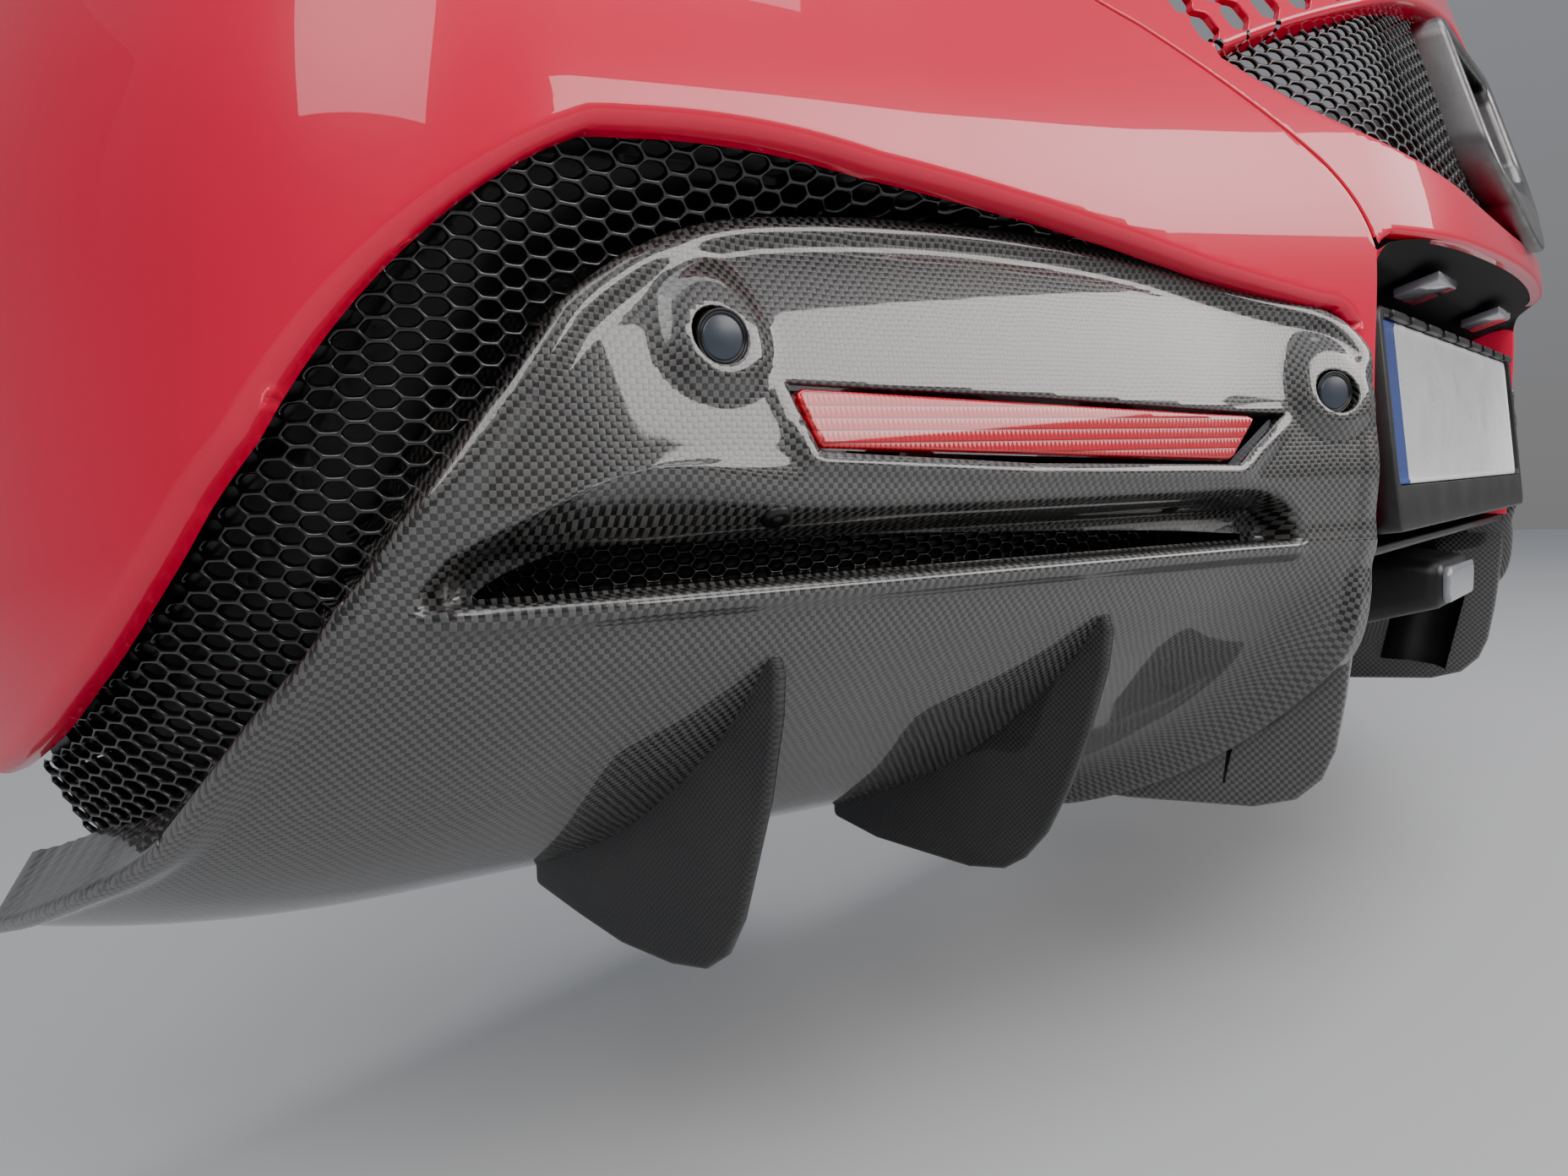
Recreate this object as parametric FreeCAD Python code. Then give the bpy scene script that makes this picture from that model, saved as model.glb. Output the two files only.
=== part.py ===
# Rear bumper assembly of a mid-engined supercar: body-colour panels with two arched outlets,
# carbon diffuser pods with strakes, honeycomb meshes, a plate recess, a centre lamp, an exhaust
# finisher and the crash beam that carries them.
# Millimetres. X to the car's right, +Y to its front, Z up. The origin is the middle of the bolt
# pattern on the chassis face. The outside of the bumper faces -Y.
# Outlines are given as across and height, or as set-back and height, where the set-back is
# measured forwards from the number plate's face. The left half is built and mirrored.
import FreeCAD
import Part
import math
import os

# The plate's face lies this far behind the chassis face.
REAR_DATUM_Y = -330.0
# Reach of the solids that cut: along the car, behind the plate, and up or down.
FAR = 1000.0
BEHIND = -200.0
TALL = 400.0

# Joints of the cover's outline from above, left half, from the middle outwards: across, set-back.
# Each arc starts along the end of the one before it.
COVER_PLAN = (
    (0.0, -47.0),
    (-172.0, -36.0),
    (-290.0, 4.0),
    (-450.0, 76.0),
    (-671.0, 138.0),
    (-796.0, 171.0),
    (-870.0, 217.0),
    (-907.0, 286.0),
    (-930.0, 545.0),
)
COVER_HEADING = 0.0
COVER_BACK = 560.0
COVER_WALL = 4.0
RUN_PAST = 30.0
# columns: height, inset, shift forwards
COVER_LEVELS = (
    (-250.0, 30.0, 0.0),
    (-110.0, 4.0, 0.0),
    (20.0, 0.0, 0.0),
    (120.0, 2.0, 0.0),
    (215.0, 26.0, 0.0),
    (345.0, 70.0, 0.0),
)

# Wheel arch at the cover's front ends.
WHEEL_SETBACK = 860.0
WHEEL_HEIGHT = -105.0
WHEEL_ARCH_R = 392.0

# Seam between the centre panel and the side panel: across, height.
SEAM = (
    ((-284.0, 92.0), (-294.0, 118.0), (-318.0, 150.0)),
    ((-318.0, 150.0), (-360.0, 182.0), (-430.0, 217.0)),
    ((-430.0, 217.0), (-560.0, 272.0), (-700.0, 400.0)),
    ((-700.0, 400.0), None, (60.0, 400.0)),
    ((60.0, 400.0), None, (60.0, 92.0)),
    ((60.0, 92.0), None, (-284.0, 92.0)),
)
SEAM_GAP = 1.6

# Arched outlet in the side panel, from its inner foot: across, height.
ARCH_FOOT = 289.0
ARCH = (
    ((-ARCH_FOOT, -96.0), None, (-ARCH_FOOT, 36.0)),
    ((-ARCH_FOOT, 36.0), (-298.0, 52.0), (-322.0, 57.0)),
    ((-322.0, 57.0), None, (-400.0, 66.0)),
    ((-400.0, 66.0), (-514.0, 89.0), (-640.0, 102.0)),
    ((-640.0, 102.0), (-731.0, 102.0), (-786.0, 94.0)),
    ((-786.0, 94.0), (-851.0, 42.0), (-891.0, -23.0)),
    ((-891.0, -23.0), (-907.0, -70.0), (-914.0, -150.0)),
    ((-914.0, -150.0), None, (-1000.0, -172.0)),
    ((-1000.0, -172.0), None, (-1000.0, -420.0)),
    ((-1000.0, -420.0), None, (-ARCH_FOOT, -420.0)),
    ((-ARCH_FOOT, -420.0), None, (-ARCH_FOOT, -96.0)),
)
ARCH_LIP = 5.0
ARCH_LIP_DEPTH = 26.0

# Plate recess, with its ceiling falling to the back wall.
RECESS_HALF = 284.0
RECESS_TOP = 104.0
RECESS_FLOOR = -92.0
RECESS_BACK = 46.0
RECESS_KINK = -10.0
RECESS_BACK_TOP = 74.0
RECESS_WALL = 4.0

# Upper opening for the centre mesh, left half: across, height.
UPPER = (
    ((60.0, 128.0), None, (0.0, 128.0)),
    ((0.0, 128.0), (-200.0, 147.0), (-362.0, 206.0)),
    ((-362.0, 206.0), (-367.0, 211.0), (-360.0, 214.0)),
    ((-360.0, 214.0), (-202.0, 271.0), (0.0, 306.0)),
    ((0.0, 306.0), None, (60.0, 306.0)),
    ((60.0, 306.0), None, (60.0, 128.0)),
)
UPPER_LIP = 4.0
UPPER_LIP_DEPTH = 22.0

# Hexagonal holes above the upper opening: how far over its edge, and how many in each row.
HEX_R = 11.0
HEX_PITCH = 28.0
HEX_START = -372.0
# columns: height over the edge, offset across, count
HEX_ROWS = (
    (16.0, 0.0, 10),
    (38.0, -14.0, 10),
)

# Joints of the carbon pod's outline from above, left side, from its inner end.
POD_PLAN = (
    (-270.0, -7.0),
    (-318.0, 17.0),
    (-350.0, 38.0),
    (-400.0, 61.8),
    (-760.0, 190.0),
    (-862.0, 262.0),
    (-915.0, 360.0),
    (-930.0, 470.0),
    (-930.0, 540.0),
)
POD_HEADING = 17.6
# The pod's edge seen from behind: across, height.
POD_INNER = 290.0
POD_EDGE = (
    ((-POD_INNER, -278.0), None, (-POD_INNER, 34.0)),
    ((-POD_INNER, 34.0), (-300.0, 55.0), (-330.0, 65.0)),
    ((-330.0, 65.0), None, (-440.0, 82.0)),
    ((-440.0, 82.0), (-560.0, 89.0), (-672.0, 84.0)),
    ((-672.0, 84.0), (-745.0, 58.0), (-796.0, 12.0)),
    ((-796.0, 12.0), (-843.0, -60.0), (-872.0, -130.0)),
    ((-872.0, -130.0), (-881.0, -174.0), (-886.0, -222.0)),
    ((-886.0, -222.0), (-902.0, -240.0), (-932.0, -246.0)),
    ((-932.0, -246.0), None, (-932.0, -278.0)),
    ((-932.0, -278.0), None, (-POD_INNER, -278.0)),
)
POD_WALL = 4.0
POD_END = 520.0
# The rim is a band round the edge that stands proud.
RIM_WIDTH = 15.0
RIM_PROUD = 3.5
RIM_DEPTH = 24.0
RIM_FOOT = POD_EDGE[-2][0][1] + 30.0
# columns: height, inset, shift forwards
LIP_HEIGHT = -90.0
FACE_LEVELS = (
    (LIP_HEIGHT, 23.0, 0.0),
    (-66.0, 21.0, 0.0),
    (-44.0, -8.0, 0.0),
    (15.0, 0.0, 0.0),
    (60.0, 12.0, 0.0),
    (100.0, 28.0, 0.0),
)
RAMP_LEVELS = (
    (-266.0, 0.0, 250.0),
    (-255.0, 0.0, 190.0),
    (-218.0, 0.0, 108.0),
    (-166.0, 0.0, 42.0),
    (-120.0, 0.0, 6.0),
    (LIP_HEIGHT, 0.0, -6.0),
)

# Slot over the lip, and the short duct behind it: across, height.
SLOT = (
    ((-330.0, -83.0), None, (-396.0, -79.0)),
    ((-396.0, -79.0), (-580.0, -70.0), (-677.0, -67.0)),
    ((-677.0, -67.0), None, (-758.0, -66.0)),
    ((-758.0, -66.0), (-800.0, -73.0), (-822.0, LIP_HEIGHT + 1.0)),
    ((-822.0, LIP_HEIGHT + 1.0), None, (-330.0, LIP_HEIGHT + 1.0)),
    ((-330.0, LIP_HEIGHT + 1.0), (-324.0, -86.0), (-330.0, -83.0)),
)
DUCT_WALL = 3.0
DUCT_DEPTH = 40.0

# Reflector and its pocket in the pod's face: across and height of the corners.
REFLECTOR = ((-387.0, -10.0), (-680.0, 4.0), (-682.0, -25.0), (-401.0, -35.0))
POCKET = ((-362.0, -10.0), (-685.0, 7.0), (-687.0, -28.0), (-398.0, -38.0))
POCKET_DEPTH = 12.0
REFLECTOR_SINK = 3.0

# Parking sensors: across, height, and the radius of the boss round each.
SENSORS = (("outer", -710.0, 26.0), ("inner", -318.0, 5.0))
SENSOR_R = 11.6
SENSOR_RING_R = 13.5
SENSOR_RING_DEPTH = 9.5
SENSOR_LENGTH = 26.0
SENSOR_PROUD = 4.0
SENSOR_BUTTON = 0.8
BOSS_R = 18.0
BOSS_PROUD = 3.0
BOSS_DEPTH = 12.0

# Push pins in the underside of the face: across, set-back, height.
PINS = (("outer", -686.0, 166.0, -55.0), ("inner", -419.0, 82.0, -60.0))
PIN_AXIS = (-0.2, -0.57, -0.8)
PIN_HEAD_R = 8.5
PIN_HEAD_DEPTH = 6.0
PIN_STEM_R = 3.5
PIN_STEM_LENGTH = 18.0

# Strakes under the ramp: across, then their edge as set-back and height.
STRAKES = (
    ("outer", -683.0, (
        (169.0, -120.0), (167.0, -130.0), (169.0, -151.0), (178.0, -193.0), (189.0, -228.0),
        (198.0, -256.0), (209.0, -276.0), (223.0, -286.0), (247.0, -289.0), (285.0, -286.0),
        (319.0, -277.0), (355.0, -266.0), (355.0, -230.0), (230.0, -120.0),
    )),
    ("inner", -478.0, (
        (95.0, -120.0), (93.0, -130.0), (96.0, -151.0), (108.0, -191.0), (121.0, -225.0),
        (135.0, -253.0), (150.0, -271.0), (164.0, -280.0), (188.0, -283.0), (219.0, -280.0),
        (258.0, -276.0), (293.0, -266.0), (293.0, -230.0), (150.0, -120.0),
    )),
)
STRAKE_THICKNESS = 9.0

# Fence that closes each pod's inner end: set-back, height.
FENCE_THICKNESS = 11.0
FENCE = (
    (8.0, 34.0), (3.0, 3.0), (3.0, -51.0), (6.0, -97.0), (12.0, -131.0), (20.0, -178.0),
    (27.0, -201.0), (36.0, -224.0), (50.0, -244.0), (80.0, -258.0), (165.0, -274.0),
    (300.0, -275.0), (300.0, -240.0), (160.0, -190.0), (70.0, -60.0), (44.0, 34.0),
)

# Centre floor between the fences: set-back, height.
CENTRE_ROOF = ((8.0, -102.0), (50.0, -104.0), (84.0, -118.0), (150.0, -152.0), (240.0, -206.0),
               (340.0, -256.0), (390.0, -264.0), (430.0, -264.0))
CENTRE_HALF = POD_INNER - 0.4
CENTRE_WALL = 4.0
CENTRE_END = 430.0
UNDERTRAY_BOLTS = (-225.0, -75.0, 75.0, 225.0)
UNDERTRAY_BOLT_R = 4.0
UNDERTRAY_EDGE = 20.0

# Centre lamp under the ledge.
LAMP_REAR_HALF = 56.0
LAMP_FRONT_HALF = 84.0
LAMP_REAR = -4.0
LAMP_REAR_TOP = -120.0
LAMP_REAR_FLOOR = -157.0
LAMP_FRONT = 150.0
LAMP_FRONT_TOP = -100.0
LAMP_FRONT_FLOOR = -196.0
LENS_THICKNESS = 6.0

# Plate and its carrier.
PLATE_LENGTH = 520.0
PLATE_HEIGHT = 110.0
PLATE_THICKNESS = 2.0
PLATE_TILT = 6.0
CARRIER_HALF = 272.0
CARRIER_TOP = 62.0
CARRIER_FLOOR = -86.0
CARRIER_LIP = 3.0
CARRIER_DEPTH = 26.0
CARRIER_BOSS_ACROSS = 200.0
CARRIER_BOSS_HEIGHTS = (-40.0, 40.0)
CARRIER_BOSS_R = 9.0
PLATE_LAMP_ACROSS = 130.0
PLATE_LAMP_HALF = 32.0
PLATE_LAMP_REAR = -12.0
PLATE_LAMP_DEPTH = 30.0
PLATE_LAMP_DROP = 5.0

# Meshes: the depth of each under the skin beside it, and the width, height and bar of its cells.
MESH_THICKNESS = 2.5
OUTLET_MESH_DEPTH = 34.0
OUTLET_MESH_END = 470.0
UPPER_MESH_DEPTH = 16.0
SLOT_MESH_DEPTH = 52.0
OUTLET_CELL = (20.0, 12.0, 3.4)
UPPER_CELL = (24.0, 14.0, 4.0)
SLOT_CELL = (14.0, 8.0, 2.8)
MESH_BORDER = 1.5
# Blind box behind the outlet's mesh, from the end of the arch's lip to its back.
OUTLET_DUCT_START = 25.6
OUTLET_DUCT_BACK = 62.0
OUTLET_DUCT_WALL = 2.5
# Back of the slot's duct.
SLOT_BACK_DEPTH = 56.0
# A cell's height loses this part of a bar, because its bars lie flatter there.
BAR_FLAT = 0.7
# A bend of more than this many degrees is taken by a sheet in this many flat facets.
SHEET_BEND = 8.0
SHEET_CHORDS = 3

# Exhaust finisher, left half: across, height of its outside and of its opening.
FINISHER = (
    ((60.0, 288.0), None, (-86.0, 288.0)),
    ((-86.0, 288.0), (-97.0, 284.0), (-101.0, 272.0)),
    ((-101.0, 272.0), None, (-101.0, 196.0)),
    ((-101.0, 196.0), (-92.0, 172.0), (-60.0, 148.0)),
    ((-60.0, 148.0), (-30.0, 127.0), (0.0, 121.0)),
    ((0.0, 121.0), None, (60.0, 121.0)),
    ((60.0, 121.0), None, (60.0, 288.0)),
)
FINISHER_OPENING = (
    ((60.0, 276.0), None, (-76.0, 276.0)),
    ((-76.0, 276.0), (-84.0, 273.0), (-87.0, 265.0)),
    ((-87.0, 265.0), None, (-87.0, 208.0)),
    ((-87.0, 208.0), (-80.0, 190.0), (-58.0, 178.0)),
    ((-58.0, 178.0), None, (60.0, 178.0)),
    ((60.0, 178.0), None, (60.0, 276.0)),
)
FINISHER_HOLLOW = ((-80.0, 168.0), (-40.0, 140.0), (60.0, 132.0), (60.0, 168.0))
# The finisher's rear face leans forwards: its set-back at a height, and the lean.
LEAN_HEIGHT = 118.0
LEAN_SETBACK = -56.0
LEAN = 0.337
FINISHER_DEPTH = 62.0
FINISHER_FLOOR = 8.0
PIPE_R = 40.0
PIPE_WALL = 3.0
PIPE_HEIGHT = 222.0
PIPE_REAR = 10.0
PIPE_FRONT = 210.0

# Crash beam, boxes and the chassis flanges.
BEAM_HALF = 560.0
BEAM_HEIGHT = 90.0
BEAM_DEPTH = 44.0
BEAM_WALL = 4.0
BEAM_SETBACK = 176.0
BOX_ACROSS = 430.0
BOX_WIDTH = 90.0
BOX_HEIGHT = 80.0
FLANGE_WIDTH = 150.0
FLANGE_HEIGHT = 130.0
FLANGE_THICKNESS = 10.0
BOLT_R = 5.5
BOLT_SPACING_X = 120.0
BOLT_SPACING_Z = 96.0

# Brackets between the beam, the cover and the floor.
BRACKET_WALL = 4.0
RECESS_BRACKET_ACROSS = 190.0
RECESS_BRACKET_HALF = 24.0
FLOOR_STAY_ACROSS = 210.0
FLOOR_STAY_FOOT = 20.0
POD_STAY_ACROSS = 530.0
STAY_FLOOR = -300.0
# across inner, across outer, bottom, top
FENDER_BRACKET = (818.0, 960.0, 294.0, 338.0)
FENDER_PLATE = 8.0
FENDER_BOLT_ACROSS = 836.0
FENDER_BOLTS = (305.0, 325.0)
FENDER_BOLT_R = 3.5


def at(across, setback, height):
    """Point in the model from its place across, its set-back from the plate, and its height."""
    return FreeCAD.Vector(across, setback + REAR_DATUM_Y, height)


def mirror_x(shape):
    return shape.mirror(FreeCAD.Vector(0, 0, 0), FreeCAD.Vector(1, 0, 0))


def both_halves(shape):
    """The left half joined to its mirror image."""
    return shape.fuse(mirror_x(shape)).removeSplitter()


def forwards(shape, distance):
    moved = shape.copy()
    moved.translate(FreeCAD.Vector(0, distance, 0))
    return moved


def line(a, b):
    return Part.LineSegment(a, b).toShape()


def arc(a, m, b):
    return Part.Arc(a, m, b).toShape()


def chained(joints, heading):
    """The joints with the heading at each, in degrees from -X towards +Y, on tangent arcs."""
    stations = [(joints[0][0], joints[0][1], heading)]
    for (x0, y0), (x1, y1) in zip(joints, joints[1:]):
        chord = math.degrees(math.atan2(y1 - y0, x0 - x1))
        heading = 2 * chord - heading
        stations.append((x1, y1, heading))
    return stations


def moved_in(stations, inset, shift):
    """The stations moved in along their normals by the inset and then forwards."""
    return [(x + math.sin(math.radians(h)) * inset, y + math.cos(math.radians(h)) * inset + shift, h)
            for x, y, h in stations]


def plan_frame(stations, across, inset=0.0):
    """Set-back and heading of a plan at a place across."""
    moved = moved_in(stations, inset, 0.0)
    for (x0, y0, h0), (x1, y1, h1) in zip(moved, moved[1:]):
        if x1 <= across <= x0:
            part = (x0 - across) / (x0 - x1)
            bow = math.tan(math.radians(h1 - h0) / 4) * (x0 - x1) * 2
            return y0 + (y1 - y0) * part - bow * part * (1 - part), h0 + (h1 - h0) * part
    raise ValueError("no such place on the plan")


def plan_wire(stations, height, back):
    """Closed outline at one height: arcs along the outside, straight lines along the back."""
    edges = []
    for (x0, y0, h0), (x1, y1, h1) in zip(stations, stations[1:]):
        half = math.tan(math.radians(h1 - h0) / 4) / 2
        middle = at((x0 + x1) / 2 - (y1 - y0) * half, (y0 + y1) / 2 + (x1 - x0) * half, height)
        edges.append(arc(at(x0, y0, height), middle, at(x1, y1, height)))
    first, last = stations[0], stations[-1]
    end_outer = at(last[0], back, height)
    end_inner = at(first[0], back, height)
    edges += [line(at(last[0], last[1], height), end_outer), line(end_outer, end_inner),
              line(end_inner, at(first[0], first[1], height))]
    return Part.Wire(edges)


def level_loft(stations, levels, inset=0.0, back=FAR):
    """Solid through the plan at each level, as columns height, inset and shift."""
    return Part.makeLoft([plan_wire(moved_in(stations, own + inset, shift), height, back)
                          for height, own, shift in levels], True, False)


def stretched(levels, by):
    """The same levels, run on past both ends along the wall's slope, for a cutter."""
    rows = [list(row) for row in levels]
    for end, beside, run in ((0, 1, -by), (-1, -2, by)):
        slope = (rows[end][1] - rows[beside][1]) / (rows[end][0] - rows[beside][0])
        rows[end][0] += run
        rows[end][1] += slope * run
    return rows


def outline(spans):
    """Closed wire on the plate's plane. Each span is start, a point on its arc or None, and end."""
    edges = []
    for start, middle, end in spans:
        a, b = at(start[0], 0.0, start[1]), at(end[0], 0.0, end[1])
        edges.append(line(a, b) if middle is None else arc(a, at(middle[0], 0.0, middle[1]), b))
    return Part.Wire(edges)


def polygon(points):
    return outline([(a, None, b) for a, b in zip(points, list(points[1:]) + [points[0]])])


def prism(wire, start=BEHIND, end=FAR):
    """The wire's face as a bar along Y between two set-backs from the plate."""
    face = Part.Face(wire)
    face.translate(FreeCAD.Vector(0, start, 0))
    return face.extrude(FreeCAD.Vector(0, end - start, 0))


def grown(wire, by):
    """The wire moved out by a distance, or in if it is negative, with rounded outer corners."""
    return wire.makeOffset2D(by, 0, False, False)


def side_profile(points, x0, x1):
    """Bar along X between two places across, from set-backs and heights."""
    corners = [at(x0, y, z) for y, z in points]
    face = Part.Face(Part.makePolygon(corners + [corners[0]]))
    return face.extrude(FreeCAD.Vector(x1 - x0, 0, 0))


def block(x0, x1, y0, y1, z0, z1):
    """Box between two places across, two set-backs and two heights."""
    return Part.makeBox(x1 - x0, y1 - y0, z1 - z0, at(x0, y0, z0))


def collar(wire, wall, skin_solid, depth):
    """Wall round the inside of an opening's outline, from the skin's outside forwards."""
    ring = prism(grown(wire, wall)).cut(prism(wire))
    return ring.common(skin_solid).cut(forwards(skin_solid, depth))


def hexagon(across, height, width, tall):
    """Hexagon with its points left and right."""
    points = [(across - width / 2, height), (across - width / 4, height + tall / 2),
              (across + width / 4, height + tall / 2), (across + width / 2, height),
              (across + width / 4, height - tall / 2), (across - width / 4, height - tall / 2)]
    return polygon(points)


def cells(size, x0, x1, z0, z1):
    """The cells of a mesh between two places across and two heights."""
    wide, high, bar = size
    pitch = 0.75 * wide
    found = []
    for i in range(int((x1 - x0) / pitch) + 1):
        for j in range(int((z1 - z0) / high) + 1):
            height = z0 + (j + 0.5 * (i % 2)) * high
            found.append(hexagon(x0 + i * pitch, height, wide - bar, high - bar * BAR_FLAT))
    return found


def pierced(sheet, size, wire, keep_off=None):
    """The sheet with its cells cut through, clear of the wire and of a second outline."""
    inside = Part.Face(grown(wire, -MESH_BORDER))
    blocked = Part.Face(grown(keep_off, MESH_BORDER)) if keep_off else None
    box = sheet.BoundBox
    bars = []
    for cell in cells(size, box.XMin, box.XMax, box.ZMin, box.ZMax):
        corners = [vertex.Point for vertex in cell.Vertexes]
        if not all(inside.isInside(corner, 0.01, True) for corner in corners):
            continue
        if blocked and any(blocked.isInside(corner, 0.01, True) for corner in corners):
            continue
        bars.append(prism(cell))
    return largest(sheet.cut(bars))


COVER = chained(COVER_PLAN, COVER_HEADING)
POD = chained(POD_PLAN, POD_HEADING)


def cover_inside(depth):
    """Block inside the cover, at a depth under its skin, open past the top, bottom and front."""
    return level_loft(COVER, stretched(COVER_LEVELS, RUN_PAST), depth, COVER_BACK + RUN_PAST)


def recess_profile(wall=0.0):
    """Side view of the hollow behind the plate, or of the block its walls are cut from."""
    return [
        (BEHIND, RECESS_TOP + wall),
        (RECESS_KINK, RECESS_TOP + wall),
        (RECESS_BACK + wall, RECESS_BACK_TOP + wall),
        (RECESS_BACK + wall, RECESS_FLOOR - wall),
        (BEHIND, RECESS_FLOOR - wall),
    ]


def make_cover():
    """The side panel, and the left half of the centre panel."""
    outer = level_loft(COVER, COVER_LEVELS, 0.0, COVER_BACK)
    wheel = Part.makeCylinder(WHEEL_ARCH_R, FAR, at(-FAR, WHEEL_SETBACK, WHEEL_HEIGHT),
                              FreeCAD.Vector(1, 0, 0))
    recess = side_profile(recess_profile(), -RECESS_HALF, RUN_PAST)
    arch = outline(ARCH)
    upper = outline(UPPER)
    seam = outline(SEAM)
    skin = outer.cut([cover_inside(COVER_WALL), wheel])
    middle = prism(seam)
    liner = side_profile(recess_profile(RECESS_WALL), -RECESS_HALF + SEAM_GAP, 0.0)
    floor = block(-RECESS_HALF, 0.0, BEHIND, FAR, -TALL, RECESS_FLOOR)
    liner = liner.common(outer).cut([recess, floor])
    lip = collar(upper, UPPER_LIP, outer, UPPER_LIP_DEPTH)
    centre = skin.common(middle).fuse([liner, lip.common(middle)])
    centre = centre.cut([prism(upper), recess, hex_holes(upper)])
    wall = side_profile(recess_profile(RECESS_WALL), -RECESS_HALF - RECESS_WALL, -RECESS_HALF)
    side = skin.cut([prism(grown(seam, SEAM_GAP)), prism(arch), recess, floor])
    rim = collar(arch, ARCH_LIP, outer, ARCH_LIP_DEPTH).cut([floor, liner_room()])
    side = side.fuse([rim, wall.common(outer).cut(prism(grown(seam, SEAM_GAP)))])
    return centre.cut(block(0.0, FAR, -FAR, FAR, -FAR, FAR)), side.cut([wheel, recess])


def liner_room():
    return side_profile(recess_profile(RECESS_WALL + SEAM_GAP), -RECESS_HALF, 0.0)


def hex_holes(upper):
    """Bars along Y for the holes above the upper opening."""
    top = upper.Edges[3]
    bars = []
    for rise, offset, count in HEX_ROWS:
        for i in range(count):
            across = HEX_START + offset + i * HEX_PITCH
            height = edge_height(top, across) + rise
            points = [(across + HEX_R * math.cos(math.radians(60 * k)),
                       height + HEX_R * math.sin(math.radians(60 * k))) for k in range(6)]
            bars.append(prism(polygon(points)))
    return Part.makeCompound(bars)


def edge_height(edge, across):
    """Height of an edge on the plate's plane at a place across, run on past its outer end."""
    probe = line(at(across, 0.0, -TALL), at(across, 0.0, TALL))
    start = edge.Vertexes[0].Point
    if across < start.x:
        slope = edge.tangentAt(edge.FirstParameter)
        return start.z + (across - start.x) * slope.z / slope.x
    return edge.distToShape(probe)[1][0][0].z


def pod_block(inset=0.0):
    """The block behind the pod's face and ramp."""
    joined = level_loft(POD, FACE_LEVELS, inset).fuse(level_loft(POD, RAMP_LEVELS, inset))
    return joined.cut(block(-FAR, FAR, POD_END, FAR + RUN_PAST, -TALL, TALL))


def sensor_frame(across, height):
    """Place and outward direction of a sensor on the pod's face."""
    low, high = FACE_LEVELS[3], FACE_LEVELS[4]
    inset = (high[1] - low[1]) * max(height - low[0], 0.0) / (high[0] - low[0])
    setback, heading = plan_frame(POD, across, inset)
    turn = math.radians(heading)
    return at(across, setback, height), FreeCAD.Vector(-math.sin(turn), -math.cos(turn), 0)


def pin_frame(across, setback, height):
    return at(across, setback, height), FreeCAD.Vector(*PIN_AXIS).normalize()


def make_pod():
    whole = pod_block()
    hollow = pod_block(POD_WALL)
    hollow.translate(FreeCAD.Vector(0, 0, POD_WALL))
    proud = pod_block(-RIM_PROUD)
    edge = outline(POD_EDGE)
    outside = prism(edge)
    core = whole.common(outside)
    rim = proud.common(outside).cut([prism(grown(edge, -RIM_WIDTH)), forwards(whole, RIM_DEPTH)])
    rim = rim.cut([block(-POD_INNER - RIM_WIDTH - 1.0, 0.0, BEHIND, FAR, -TALL, 0.0),
                   block(-FAR, 0.0, BEHIND, FAR, -TALL, RIM_FOOT)])
    fence = side_profile(FENCE, -POD_INNER - FENCE_THICKNESS, -POD_INNER)
    slot = outline(SLOT)
    pocket = polygon(POCKET)
    cup = prism(grown(pocket, POD_WALL)).common(core).cut(forwards(whole, POCKET_DEPTH + POD_WALL))
    adds = [rim, fence, collar(slot, DUCT_WALL, core, DUCT_DEPTH), cup]
    cuts = [prism(slot), prism(pocket).cut(forwards(whole, POCKET_DEPTH))]
    for _, across, height in SENSORS:
        place, normal = sensor_frame(across, height)
        boss = Part.makeCylinder(BOSS_R, BOSS_PROUD + BOSS_DEPTH, place + normal * BOSS_PROUD,
                                 normal * -1.0)
        adds.append(boss.common(outside))
        cuts.append(Part.makeCylinder(SENSOR_RING_R, 2 * SENSOR_LENGTH,
                                      place - normal * SENSOR_LENGTH, normal))
    for _, across, setback, height in PINS:
        place, normal = pin_frame(across, setback, height)
        cuts.append(Part.makeCylinder(PIN_STEM_R, 2 * PIN_STEM_LENGTH,
                                      place - normal * PIN_STEM_LENGTH, normal))
    return core.cut(hollow).fuse(adds).cut(cuts).fuse(slot_back(slot)), whole, hollow


def make_sensor(across, height):
    place, normal = sensor_frame(across, height)
    front = place + normal * SENSOR_PROUD
    ring = Part.makeCylinder(SENSOR_RING_R, SENSOR_RING_DEPTH, front, normal * -1.0)
    stem = Part.makeCylinder(SENSOR_R, SENSOR_LENGTH, front + normal * SENSOR_BUTTON, normal * -1.0)
    return ring.fuse(stem)


def make_pin(across, setback, height, whole):
    place, normal = pin_frame(across, setback, height)
    head = Part.makeCylinder(PIN_HEAD_R, PIN_HEAD_DEPTH, place + normal * PIN_HEAD_DEPTH / 2,
                             normal * -1.0)
    stem = Part.makeCylinder(PIN_STEM_R, PIN_STEM_LENGTH, place + normal, normal * -1.0)
    return head.cut(whole).fuse(stem)


def make_reflector(whole):
    lens = prism(polygon(REFLECTOR)).common(forwards(whole, REFLECTOR_SINK))
    return lens.cut(forwards(whole, POCKET_DEPTH))


def make_strake(across, points, whole):
    bar = side_profile(points, across - STRAKE_THICKNESS / 2, across + STRAKE_THICKNESS / 2)
    return bar.cut(whole)


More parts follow.
